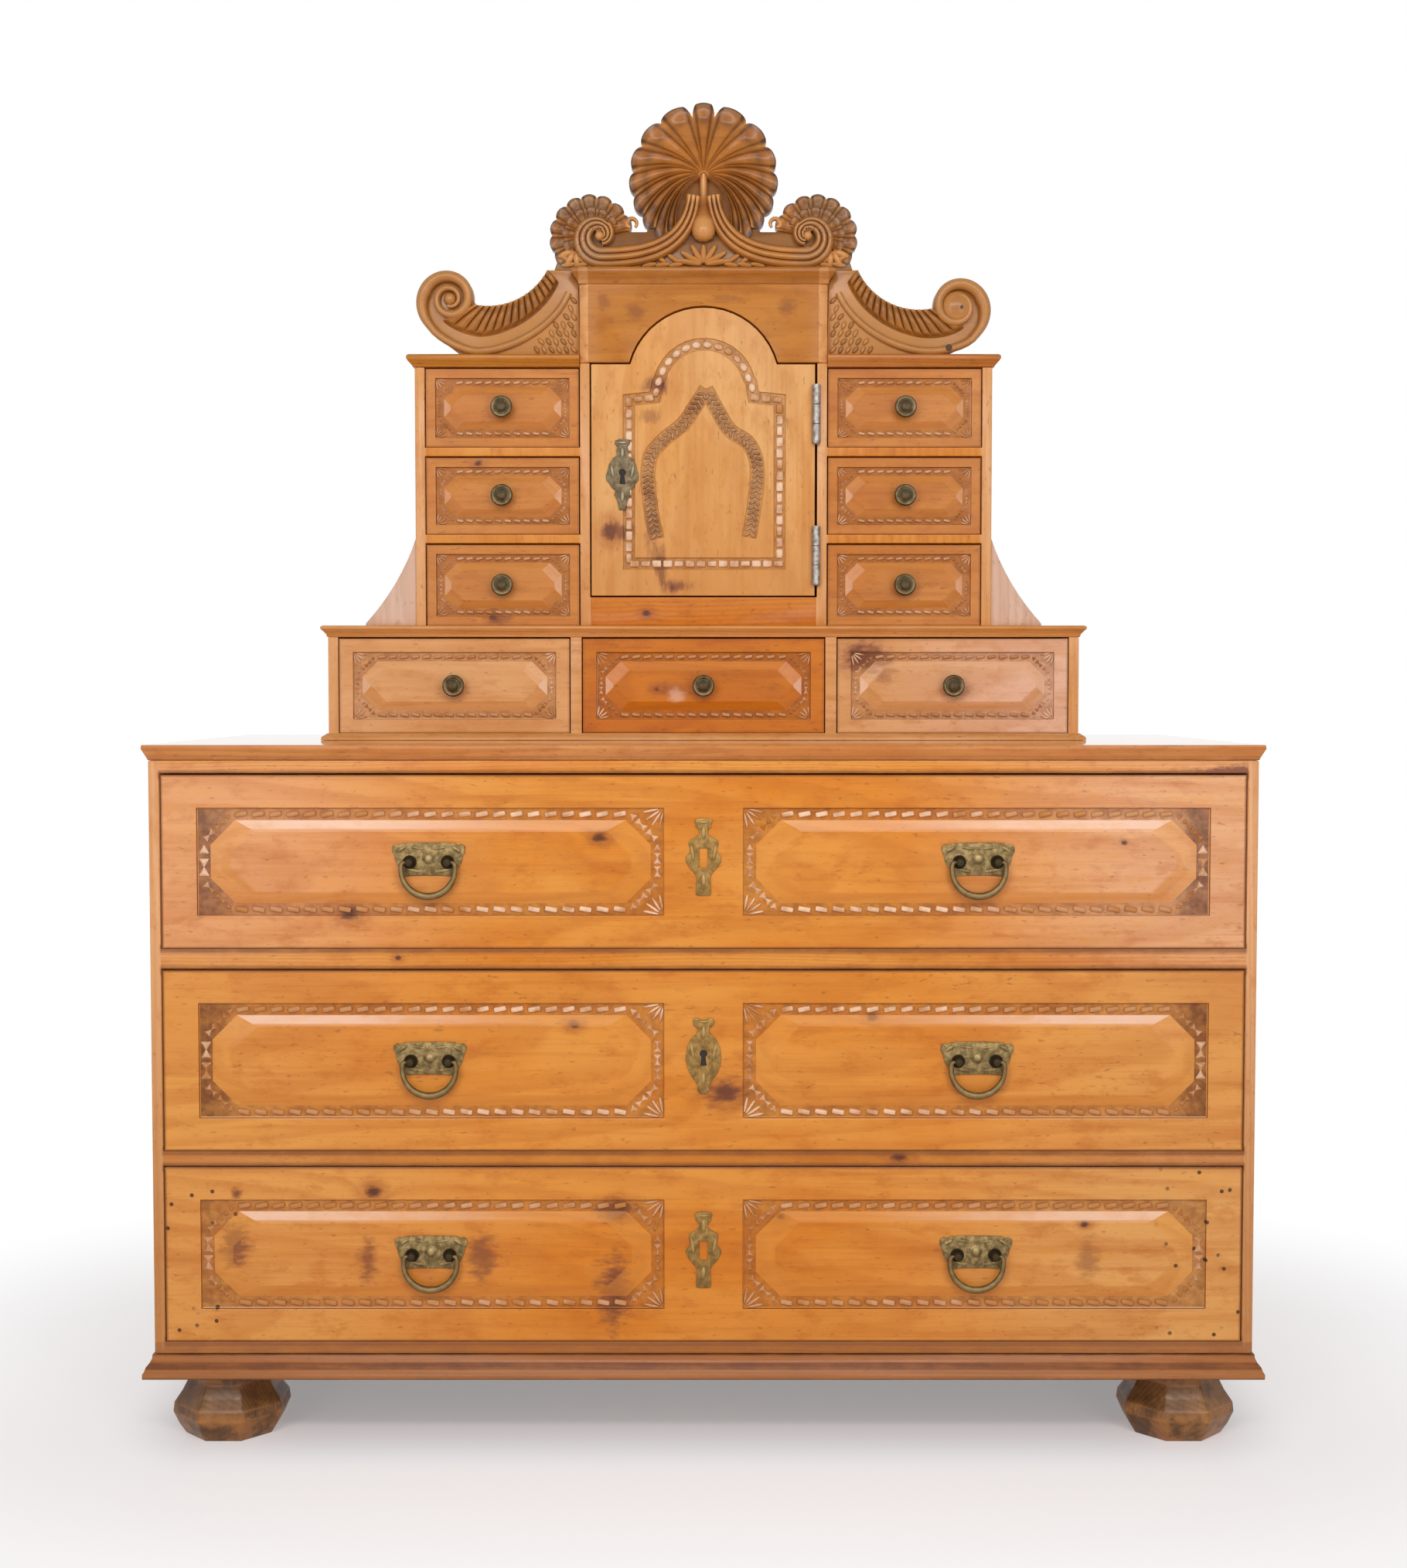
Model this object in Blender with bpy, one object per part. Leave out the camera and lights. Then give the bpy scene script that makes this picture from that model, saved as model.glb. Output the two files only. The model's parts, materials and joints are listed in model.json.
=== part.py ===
# Cabinet on chest: a three-drawer chest, a low tier of drawers set back on its top, and a
# small cupboard with a bank of drawers on each side, under a carved shell crest.
# Metres, +Z up. X runs to the viewer's right and the front faces -Y. The origin is on the
# floor, under the middle of the whole piece.

import math

import bmesh
import bpy
from mathutils import Matrix, Vector

# Fits
SEAT = 0.0003            # gap between pieces that rest on or are fixed to each other
LAP = 0.001              # how far two forms run into each other before they are fused
DRAWER_SIDE_GAP = 0.0015
DRAWER_TOP_GAP = 0.002
DRAWER_BACK_GAP = 0.008
DRAWER_RECESS = 0.001    # drawer fronts behind the case's front edge

# Chest
CHEST_WIDTH = 1.342
CHEST_DEPTH = 0.580
CHEST_HEIGHT = 0.8623    # floor to the top board's face; the middle drawer takes what is left
CHEST_SIDE_T = 0.013
CHEST_BOTTOM_T = 0.0144
LOWER_OPENING_H = 0.217
LOWER_RAIL_T = 0.018
UPPER_RAIL_T = 0.0245
UPPER_OPENING_H = 0.213
TOP_RAIL_T = 0.0155
CHEST_TOP_T = 0.0185
CHEST_TOP_OVERHANG = 0.007
BACK_T = 0.010
PLANK_W = 0.149
PLANK_GROOVE = 0.003

# Base and feet
BASE_H = 0.0285
BASE_PROJECTION = 0.013
FOOT_H = 0.089
FOOT_BULGE_R = 0.068
FOOT_NECK_R = 0.050
FOOT_SOLE_R = 0.053
FOOT_HEAD_R = 0.058
FOOT_SIDES = 8
FOOT_INSET = 0.090       # foot axis in from the base's edge

# Drawer tier on the chest
TIER_WIDTH = 0.991
TIER_SETBACK = 0.240
TIER_BASE_H = 0.009
TIER_MOULD = 0.009
TIER_OPENING_H = 0.1265
TIER_SIDE_T = 0.013
TIER_DIVIDER_T = 0.0145
TIER_CENTRE_W = 0.322
TIER_TOP_T = 0.015

# Upper cabinet
UPPER_WIDTH = 0.761
UPPER_SETBACK = 0.010
BOARD_T = 0.013
SHELF_T = 0.0115
LOWER_BANK_H = 0.109
MIDDLE_BANK_H = 0.103
UPPER_BANK_H = 0.105
CAP_T = 0.016
CAP_OVERHANG = 0.010
CUPBOARD_W = 0.300
SILL_H = 0.0376
SILL_T = 0.018
CUPBOARD_FLOOR_T = 0.012
DOOR_BAY_H = 0.3457      # tier top to the frieze's lower edge
BRACKET_W = 0.0675
BRACKET_H = 0.116
BRACKET_T = 0.016
BRACKET_HOLLOW = 0.007
BRACKET_TOE = 0.003
BRACKET_SETBACK = 0.004

# Frieze and cornice
FRIEZE_H = 0.102
FRIEZE_T = 0.022
FRIEZE_PROUD = 0.004
FRIEZE_BEVEL = 0.012
ARCH_HALF_W = 0.098
ARCH_RISE = 0.074
CORNICE_T = 0.021
CORNICE_PROJECTION = 0.010

# Door and hinges
DOOR_T = 0.020
DOOR_GAP = 0.002
LEAF_T = 0.0009
LEAF_CLEARANCE = 0.0006
LEAF_DEPTH = 0.018
KNUCKLE_R = 0.0055
HINGE_PIN_R = 0.0025
HINGE_PIN_CLEARANCE = 0.0004
HINGE_H = 0.077
HINGE_EDGE = 0.0275      # hinge to the door's shoulder
LOWER_HINGE_EDGE = 0.014  # hinge to the door's foot

# Drawer boxes
LARGE_FRONT_T = 0.022
LARGE_WALL_T = 0.012
LARGE_FLOOR_T = 0.008
SMALL_FRONT_T = 0.016
SMALL_WALL_T = 0.009
SMALL_FLOOR_T = 0.006

# Carved panels on the fronts: margins, sunk band, canted corners and bevelled field
LARGE_PANEL_END = 0.043
LARGE_PANEL_EDGE = 0.040
LARGE_PANEL_MIDDLE = 0.096
LARGE_BAND_END = 0.016
LARGE_BAND_EDGE = 0.015
LARGE_CANT = 0.030
LARGE_BEVEL_END = 0.026
LARGE_BEVEL_EDGE = 0.014
TIER_PANEL_MARGIN = 0.018
TIER_BAND = 0.012
TIER_CANT = 0.020
TIER_BEVEL = 0.012
BANK_PANEL_MARGIN = 0.0125
BANK_BAND = 0.011
BANK_CANT = 0.016
BANK_BEVEL = 0.010
PANEL_SINK = 0.004

# Bail pulls
PULL_OFFSET = 0.3323     # pull to the middle of a large drawer
PLATE_T = 0.002
PLATE_HALF_W = 0.0443
PLATE_TOP = 0.0235
PLATE_FOOT = 0.0176
PLATE_FOOT_HALF_W = 0.0335
POST_SPACING = 0.046
POST_R = 0.0048
POST_REACH = 0.0125
BOSS_R = 0.006
BOSS_H = 0.004
BAIL_STANDOFF = 0.008    # bail's axis in front of its plate
BAIL_W = 0.074
BAIL_DROP = 0.0455
BAIL_WIRE_R = 0.0044
BAIL_SHANK_R = 0.0030
BAIL_PIN_R = 0.0019
BAIL_PIN_CLEARANCE = 0.0006
BAIL_PIN_DEPTH = 0.005

# Knobs and escutcheons
KNOB_R = 0.0145
KNOB_ROSE_R = 0.0105
KNOB_STEM_R = 0.0055
KNOB_REACH = 0.024
KNOB_SIDES = 14
ESCUTCHEON_T = 0.0018
ESCUTCHEON_H = 0.094
ESCUTCHEON_W = 0.043
ESCUTCHEON_RAISE = 0.006  # above the middle of the drawer
DOOR_ESCUTCHEON_IN = 0.041
DOOR_ESCUTCHEON_UP = 0.1986  # above the tier's top
KEYHOLE_R = 0.0026
KEYHOLE_DROP = 0.008
KEYHOLE_SLOT_W = 0.003

# Carved crest
CREST_T = 0.024
CREST_SETBACK = 0.010
CREST_OVERHANG = 0.034   # board past the cupboard's sides, over the cornice and the wings' tops
CREST_WAIST = 0.005      # hollow in the board's ends
CREST_WAIST_RISE = 0.014
SHELL_RISE = 0.1195      # where the flutes meet, above the cornice
SHELL_R = 0.0915
SHELL_SCALLOP = 0.007
SHELL_TOP_LOBE = 21.0    # degrees taken by the narrow top lobe
SHELL_NEXT_LOBE = 28.0   # degrees taken by each lobe beside it
SHELL_LOBE_RATIO = 0.88  # each lower lobe against the one above it
SHELL_SIDE_LOBES = 6
SHELL_DOME = 0.010
SHELL_SCOOP = 0.006
NOTCH_RISE = 0.050       # bottom of the open notch between shell and leaf
LEAF_INSET = 0.0155      # leaf's eye in from the cupboard's side
LEAF_RISE = 0.043
LEAF_R = 0.0505
LEAF_SCALLOP = 0.0055
LEAF_LOBES = 9
LEAF_FROM = 10.0         # degrees, on the shell's side
LEAF_TO = 226.0
LEAF_DOME = 0.006
LEAF_SCOOP = 0.004
SCROLL_R = 0.0075
SCROLL_PROUD = 0.003     # scroll bands and drop in front of the board
SCROLL_EYE_IN = 0.0105   # scroll's eye in from the leaf's eye
SCROLL_EYE_R = 0.011
SCROLL_TURN_R = 0.028
SCROLL_START_X = 0.012
SCROLL_DIP = 0.024       # lowest pull of the scroll, above the cornice
DROP_FOOT = 0.036
DROP_TOP = 0.120
DROP_R = 0.0155
DROP_STEM_R = 0.004

# Scrolled wings
WING_T = 0.022
WING_SETBACK = 0.010
VOLUTE_INSET = 0.0459    # volute's eye in from the upper cabinet's side
VOLUTE_RISE_LEFT = 0.074
VOLUTE_RISE_RIGHT = 0.064
VOLUTE_R = 0.0305        # at the side that meets the sweep
VOLUTE_GROWTH = 1.2      # radius gained in each quarter turn
SWEEP_OUT = 0.1212       # centre of the hollow sweep out from the cupboard's side
SWEEP_RISE = 0.154
SWEEP_R = 0.0889
WING_FOOT_INSET = 0.0625  # foot's outer end in from the upper cabinet's side
BEAD_R = 0.0046
BEAD_EYE_TURNS = 1.15

# Worked-out levels
BASE_Z = FOOT_H + SEAT
CASE_Z = BASE_Z + BASE_H + SEAT
LOWER_Z = CASE_Z + CHEST_BOTTOM_T
MIDDLE_Z = LOWER_Z + LOWER_OPENING_H + LOWER_RAIL_T
CASE_TOP_Z = CHEST_HEIGHT - CHEST_TOP_T - SEAT
UPPER_Z = CASE_TOP_Z - TOP_RAIL_T - UPPER_OPENING_H
MIDDLE_OPENING_H = UPPER_Z - UPPER_RAIL_T - MIDDLE_Z
TIER_Z = CHEST_HEIGHT + SEAT
TIER_FLOOR_Z = TIER_Z + TIER_BASE_H
TIER_CEIL_Z = TIER_FLOOR_Z + TIER_OPENING_H
TIER_TOP_Z = TIER_CEIL_Z + SEAT + TIER_TOP_T
UPPER_FOOT_Z = TIER_TOP_Z + SEAT
SHELF_1_Z = TIER_TOP_Z + LOWER_BANK_H
BANK_2_Z = SHELF_1_Z + SHELF_T
SHELF_2_Z = BANK_2_Z + MIDDLE_BANK_H
BANK_3_Z = SHELF_2_Z + SHELF_T
CAP_Z = BANK_3_Z + UPPER_BANK_H
CAP_TOP_Z = CAP_Z + CAP_T
SILL_TOP_Z = UPPER_FOOT_Z + SILL_H
FRIEZE_Z = TIER_TOP_Z + DOOR_BAY_H
CORNICE_Z = FRIEZE_Z + FRIEZE_H
CORNICE_TOP_Z = CORNICE_Z + CORNICE_T

# Worked-out depths; the piece reaches from the pulls, or the base, to its back
PULL_REACH = SEAT + PLATE_T + BAIL_STANDOFF + BAIL_WIRE_R - DRAWER_RECESS
FRONT_REACH = max(BASE_PROJECTION, CHEST_TOP_OVERHANG, PULL_REACH)
FRONT = -(CHEST_DEPTH - FRONT_REACH) / 2
BACK = FRONT + CHEST_DEPTH
CASE_BACK = BACK - BACK_T - SEAT
TIER_FRONT = FRONT + TIER_SETBACK
UPPER_FRONT = TIER_FRONT + UPPER_SETBACK

# Worked-out half widths
CHEST_HALF = CHEST_WIDTH / 2
TIER_HALF = TIER_WIDTH / 2
UPPER_HALF = UPPER_WIDTH / 2
POST_INNER = CUPBOARD_W / 2
POST_OUTER = POST_INNER + BOARD_T
CREST_HALF_W = POST_OUTER + CREST_OVERHANG
LEAF_X = POST_OUTER - LEAF_INSET
VOLUTE_X = UPPER_HALF - VOLUTE_INSET
SWEEP_X = POST_OUTER + SWEEP_OUT
WING_FOOT_X = UPPER_HALF - WING_FOOT_INSET
HINGE_GAP = 2 * SEAT + 2 * LEAF_T + LEAF_CLEARANCE
DOOR_FRONT = UPPER_FRONT
HINGE_X = POST_INNER - HINGE_GAP / 2
HINGE_Y = DOOR_FRONT - KNUCKLE_R - SEAT

WOOD = (0.60, 0.33, 0.12)
CARVED = (0.42, 0.21, 0.08)
BRASS = (0.36, 0.30, 0.16)
STEEL = (0.62, 0.60, 0.57)
FINISHES = {
    "pine": (WOOD, 0.38, 0.0),
    "carved_pine": (CARVED, 0.45, 0.0),
    "brass": (BRASS, 0.42, 1.0),
    "steel": (STEEL, 0.35, 1.0),
}


def clear_scene():
    for item in list(bpy.data.objects):
        bpy.data.objects.remove(item, do_unlink=True)


def finish(name, kind):
    colour, roughness, metallic = FINISHES[kind]
    material = bpy.data.materials.new(name)
    material.use_nodes = True
    shader = material.node_tree.nodes["Principled BSDF"]
    shader.inputs["Base Color"].default_value = (*colour, 1.0)
    shader.inputs["Roughness"].default_value = roughness
    shader.inputs["Metallic"].default_value = metallic
    material.diffuse_color = (*colour, 1.0)
    return material


def add_object(name, mesh, origin=(0, 0, 0)):
    item = bpy.data.objects.new(name, mesh)
    item.location = origin
    bpy.context.collection.objects.link(item)
    return item


def from_bmesh(name, bm, origin=(0, 0, 0), smooth=None):
    # The mesh is drawn in world places and then hung on its origin
    bmesh.ops.recalc_face_normals(bm, faces=bm.faces)
    bmesh.ops.translate(bm, vec=-Vector(origin), verts=bm.verts)
    mesh = bpy.data.meshes.new(name)
    bm.to_mesh(mesh)
    bm.free()
    if smooth is not None:
        mesh.shade_smooth()
        mesh.set_sharp_from_angle(angle=math.radians(smooth))
    return add_object(name, mesh, origin)


def paint(item, kind):
    item.data.materials.clear()
    item.data.materials.append(finish(item.name, kind))
    return item


def attach(child, parent):
    child.parent = parent
    child.location = Vector(child.location) - Vector(parent.location)


def settle(item):
    # The evaluated shape becomes the object's own mesh
    bpy.context.view_layer.update()
    shape = item.evaluated_get(bpy.context.evaluated_depsgraph_get())
    mesh = bpy.data.meshes.new_from_object(shape)
    item.modifiers.clear()
    item.data = mesh
    return item


def combine(item, tools, operation):
    for tool in tools:
        change = item.modifiers.new("combine", 'BOOLEAN')
        change.operation = operation
        change.solver = 'EXACT'
        change.object = tool
        settle(item)
        bpy.data.objects.remove(tool, do_unlink=True)
    return item


def fuse(item, *tools):
    return combine(item, tools, 'UNION')


def cut(item, *tools):
    return combine(item, tools, 'DIFFERENCE')


def loft(bm, rings):
    for low, high in zip(rings, rings[1:]):
        for i in range(len(low)):
            bm.faces.new((low[i - 1], low[i], high[i], high[i - 1]))
    bm.faces.new(rings[0])
    bm.faces.new(rings[-1])


def box(lo, hi):
    bm = bmesh.new()
    middle = (Vector(lo) + Vector(hi)) / 2
    size = Vector(hi) - Vector(lo)
    bmesh.ops.create_cube(bm, size=1.0, matrix=Matrix.Translation(middle) @ Matrix.Diagonal((*size, 1)))
    return from_bmesh("box", bm)


def slab(name, loops, front, back, origin=(0, 0, 0), smooth=None):
    # Outlines in the front view, the first one outside and the rest openings, run to a depth
    bm = bmesh.new()
    edges = []
    for outline in loops:
        verts = [bm.verts.new((x, front, z)) for x, z in outline]
        edges += [bm.edges.new((verts[i - 1], verts[i])) for i in range(len(verts))]
    filled = bmesh.ops.triangle_fill(bm, use_beauty=True, edges=edges)
    faces = [item for item in filled["geom"] if isinstance(item, bmesh.types.BMFace)]
    grown = bmesh.ops.extrude_face_region(bm, geom=faces, use_keep_orig=True)
    moved = [item for item in grown["geom"] if isinstance(item, bmesh.types.BMVert)]
    bmesh.ops.translate(bm, vec=(0, back - front, 0), verts=moved)
    return from_bmesh(name, bm, origin, smooth)


def prism(name, outline, z0, z1):
    # An outline in the plan view, run from one height to another
    bm = bmesh.new()
    loft(bm, [[bm.verts.new((x, y, z)) for x, y in outline] for z in (z0, z1)])
    return from_bmesh(name, bm)


def rectangle(x0, z0, x1, z1):
    return [(x0, z0), (x1, z0), (x1, z1), (x0, z1)]


def moulded_board(name, profile, x0, x1, front, back, left=True, right=True):
    # A flat board whose front and free ends follow a profile of heights and projections
    bm = bmesh.new()
    rings = []
    for z, out in profile:
        a = x0 - out if left else x0
        b = x1 + out if right else x1
        corners = ((a, front - out, z), (b, front - out, z), (b, back, z), (a, back, z))
        rings.append([bm.verts.new(corner) for corner in corners])
    loft(bm, rings)
    return from_bmesh(name, bm)


def turned(profile, sides, frame, turn=0.0):
    # A closed turning about the frame's Z axis from radii and heights
    bm = bmesh.new()
    rings = []
    for radius, height in profile:
        ring = []
        for i in range(sides):
            angle = turn + 2 * math.pi * i / sides
            ring.append(bm.verts.new((radius * math.cos(angle), radius * math.sin(angle), height)))
        rings.append(ring)
    loft(bm, rings)
    bmesh.ops.transform(bm, matrix=frame, verts=bm.verts)
    return bm


def facing_front(place):
    # Turnings on a front: their Z axis points out of it, at the viewer
    return Matrix.Translation(place) @ Matrix.Rotation(math.radians(90), 4, 'X')


def along_x(place):
    return Matrix.Translation(place) @ Matrix.Rotation(math.radians(90), 4, 'Y')


def upright(place):
    return Matrix.Translation(place)


def arc(centre, radius, start, end, steps):
    points = []
    for i in range(steps + 1):
        angle = start + (end - start) * i / steps
        points.append((centre[0] + radius * math.cos(angle), centre[1] + radius * math.sin(angle)))
    return points


def arch(half_width, rise, foot, shrink, steps):
    # A segmental arch over the middle, from right to left, drawn in by a clearance
    radius = (half_width ** 2 + rise ** 2) / (2 * rise)
    centre = (0.0, foot + rise - radius)
    radius -= shrink
    low = math.asin((foot - shrink - centre[1]) / radius)
    return arc(centre, radius, low, math.pi - low, steps)


def hollow_edge(top, toe, hollow, steps):
    # A curve from top to toe, bowed in towards the corner under the top
    mid = ((top[0] + toe[0]) / 2, (top[1] + toe[1]) / 2)
    across = (toe[0] - top[0], toe[1] - top[1])
    length = math.hypot(*across)
    side = 1 if across[0] > 0 else -1
    normal = (side * across[1] / length, -side * across[0] / length)
    bend = (mid[0] + 2 * hollow * normal[0], mid[1] + 2 * hollow * normal[1])
    points = []
    for i in range(steps + 1):
        t = i / steps
        a, b, c = (1 - t) ** 2, 2 * t * (1 - t), t ** 2
        points.append((a * top[0] + b * bend[0] + c * toe[0], a * top[1] + b * bend[1] + c * toe[1]))
    return points


def tube(name, points, radii, origin=(0, 0, 0)):
    curve = bpy.data.curves.new(name, 'CURVE')
    curve.dimensions = '3D'
    curve.bevel_depth = 1.0
    curve.bevel_resolution = 2
    curve.use_fill_caps = True
    spline = curve.splines.new('POLY')
    spline.points.add(len(points) - 1)
    for point, place, radius in zip(spline.points, points, radii):
        point.co = (*(Vector(place) - Vector(origin)), 1.0)
        point.radius = radius
    item = add_object(name, curve, origin)
    bpy.context.view_layer.update()
    shape = item.evaluated_get(bpy.context.evaluated_depsgraph_get())
    mesh = bpy.data.meshes.new_from_object(shape)
    bpy.data.objects.remove(item, do_unlink=True)
    bm = bmesh.new()
    bm.from_mesh(mesh)
    bmesh.ops.remove_doubles(bm, verts=bm.verts, dist=0.00001)
    bmesh.ops.translate(bm, vec=Vector(origin), verts=bm.verts)
    return from_bmesh(name, bm, origin, smooth=40)


# Carved drawers

def ring_of_faces(bm, outer, inner):
    for i in range(len(outer)):
        bm.faces.new((outer[i - 1], outer[i], inner[i], inner[i - 1]))


def corners_at(bm, x0, z0, x1, z1, y):
    return [bm.verts.new((x, y, z)) for x, z in rectangle(x0, z0, x1, z1)]


def canted_at(bm, x0, z0, x1, z1, cant, y):
    outline = [
        (x0, z0 + cant), (x0 + cant, z0), (x1 - cant, z0), (x1, z0 + cant),
        (x1, z1 - cant), (x1 - cant, z1), (x0 + cant, z1), (x0, z1 - cant),
    ]
    return [bm.verts.new((x, y, z)) for x, z in outline]


def carve_panel(bm, cell, panel, y):
    # A sunk band round a bevelled field with canted corners, inside one cell of the front
    x0, z0, x1, z1 = panel["rect"]
    band_x, band_z = panel["band"]
    bevel_x, bevel_z = panel["bevel"]
    cant = panel["cant"]
    floor = y + PANEL_SINK
    rim = corners_at(bm, x0, z0, x1, z1, y)
    foot = corners_at(bm, x0, z0, x1, z1, floor)
    ring_of_faces(bm, cell, rim)
    ring_of_faces(bm, rim, foot)
    field = canted_at(bm, x0 + band_x, z0 + band_z, x1 - band_x, z1 - band_z, cant, floor)
    for i in range(4):
        bm.faces.new((foot[i], field[2 * i], field[2 * i + 1]))
        bm.faces.new((foot[i], field[2 * i + 1], field[(2 * i + 2) % 8], foot[(i + 1) % 4]))
    inset_x, inset_z = band_x + bevel_x, band_z + bevel_z
    top = canted_at(bm, x0 + inset_x, z0 + inset_z, x1 - inset_x, z1 - inset_z, cant, y)
    ring_of_faces(bm, field, top)
    bm.faces.new(top)


def drawer(name, bay, front, back, build, style):
    # bay is the opening (x0, z0, x1, z1); the drawer is an open box behind a carved front
    x0, x1 = bay[0] + DRAWER_SIDE_GAP, bay[2] - DRAWER_SIDE_GAP
    z0, z1 = bay[1] + SEAT, bay[3] - DRAWER_TOP_GAP
    y0, y1 = front + DRAWER_RECESS, back - DRAWER_BACK_GAP
    front_t, wall, floor = build
    end, edge, middle = style["margins"]
    cells = 2 if middle else 1
    bm = bmesh.new()
    stations = [x0 + (x1 - x0) * i / cells for i in range(cells + 1)]
    low = [bm.verts.new((x, y0, z0)) for x in stations]
    high = [bm.verts.new((x, y0, z1)) for x in stations]
    low_back = [bm.verts.new((x, y1, z0)) for x in (x1, x0)]
    high_back = [bm.verts.new((x, y1, z1)) for x in (x1, x0)]
    inner = rectangle(x0 + wall, y0 + front_t, x1 - wall, y1 - wall)
    rim = [bm.verts.new((x, y, z1)) for x, y in inner]
    well = [bm.verts.new((x, y, z0 + floor)) for x, y in inner]
    bm.faces.new(low + low_back)
    bm.faces.new((low[-1], low_back[0], high_back[0], high[-1]))
    bm.faces.new((low_back[0], low_back[1], high_back[1], high_back[0]))
    bm.faces.new((low_back[1], low[0], high[0], high_back[1]))
    bm.faces.new(high + [rim[1], rim[0]])
    bm.faces.new((high[-1], high_back[0], rim[2], rim[1]))
    bm.faces.new((high_back[0], high_back[1], rim[3], rim[2]))
    bm.faces.new((high_back[1], high[0], rim[0], rim[3]))
    ring_of_faces(bm, rim, well)
    bm.faces.new(well)
    for i in range(cells):
        left = end if i == 0 else middle / 2
        right = end if i == cells - 1 else middle / 2
        panel = dict(style, rect=(stations[i] + left, z0 + edge, stations[i + 1] - right, z1 - edge))
        carve_panel(bm, (low[i], low[i + 1], high[i + 1], high[i]), panel, y0)
    origin = ((x0 + x1) / 2, y0, (z0 + z1) / 2)
    return paint(from_bmesh(name, bm, origin), "pine")


LARGE_BUILD = (LARGE_FRONT_T, LARGE_WALL_T, LARGE_FLOOR_T)
SMALL_BUILD = (SMALL_FRONT_T, SMALL_WALL_T, SMALL_FLOOR_T)
LARGE_STYLE = {
    "margins": (LARGE_PANEL_END, LARGE_PANEL_EDGE, LARGE_PANEL_MIDDLE),
    "band": (LARGE_BAND_END, LARGE_BAND_EDGE), "cant": LARGE_CANT,
    "bevel": (LARGE_BEVEL_END, LARGE_BEVEL_EDGE),
}
TIER_STYLE = {
    "margins": (TIER_PANEL_MARGIN, TIER_PANEL_MARGIN, 0.0),
    "band": (TIER_BAND, TIER_BAND), "cant": TIER_CANT, "bevel": (TIER_BEVEL, TIER_BEVEL),
}
BANK_STYLE = {
    "margins": (BANK_PANEL_MARGIN, BANK_PANEL_MARGIN, 0.0),
    "band": (BANK_BAND, BANK_BAND), "cant": BANK_CANT, "bevel": (BANK_BEVEL, BANK_BEVEL),
}


# Brass

def knob(name, holder):
    x, y, z = holder.location
    profile = [
        (KNOB_ROSE_R, 0.0), (KNOB_ROSE_R, 0.06), (KNOB_STEM_R, 0.18), (KNOB_STEM_R, 0.32),
        (0.80 * KNOB_R, 0.44), (KNOB_R, 0.60), (0.93 * KNOB_R, 0.80), (0.55 * KNOB_R, 0.96),
        (0.16 * KNOB_R, 1.0),
    ]
    steps = [(radius, share * KNOB_REACH) for radius, share in profile]
    bm = turned(steps, KNOB_SIDES, facing_front((x, y - SEAT, z)))
    item = paint(from_bmesh(name, bm, (x, y - SEAT, z), smooth=40), "brass")
    attach(item, holder)


def mirrored(half):
    # The right half of an outline, top to bottom, with its mirror image
    return half + [(-x, z) for x, z in reversed(half) if x > 0]


def plate(name, holder, x):
    # A flat backplate with flared ears, a boss and two bored posts for the bail's ends
    y = holder.location.y - SEAT
    z = holder.location.z
    waist = (PLATE_HALF_W + PLATE_FOOT_HALF_W) / 2
    half = [
        (0.74 * PLATE_HALF_W, PLATE_TOP), (0.87 * PLATE_HALF_W, 0.89 * PLATE_TOP),
        (PLATE_HALF_W, 0.79 * PLATE_TOP), (waist, 0.25 * PLATE_TOP),
        (PLATE_FOOT_HALF_W, -0.45 * PLATE_FOOT), (PLATE_FOOT_HALF_W, -PLATE_FOOT),
    ]
    outline = [(x + dx, z + dz) for dx, dz in mirrored(half)]
    item = slab(name, [outline], y - PLATE_T, y, (x, y, z))
    out = y - PLATE_T + LAP
    parts = []
    for side in (-1, 1):
        place = (x + side * POST_SPACING / 2, out, z)
        post = [(POST_R, 0.0), (POST_R, 0.8 * POST_REACH), (0.7 * POST_R, POST_REACH + LAP)]
        parts.append(from_bmesh("post", turned(post, 10, facing_front(place))))
    boss = [(BOSS_R, 0.0), (BOSS_R, 0.4 * BOSS_H + LAP), (0.5 * BOSS_R, BOSS_H + LAP)]
    parts.append(from_bmesh("boss", turned(boss, 8, facing_front((x, out, z + 0.2 * PLATE_TOP)))))
    fuse(item, *parts)
    bores = []
    bore_r = BAIL_PIN_R + BAIL_PIN_CLEARANCE
    for side in (-1, 1):
        face = x + side * (POST_SPACING / 2 + POST_R)
        inner = face - side * (BAIL_PIN_DEPTH + BAIL_PIN_CLEARANCE)
        length = abs(face - inner) + LAP
        place = (min(inner, face + side * LAP), y - PLATE_T - BAIL_STANDOFF, z)
        bores.append(from_bmesh("bore", turned([(bore_r, 0.0), (bore_r, length)], 10, along_x(place))))
    cut(item, *bores)
    attach(paint(item, "brass"), holder)


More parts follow.
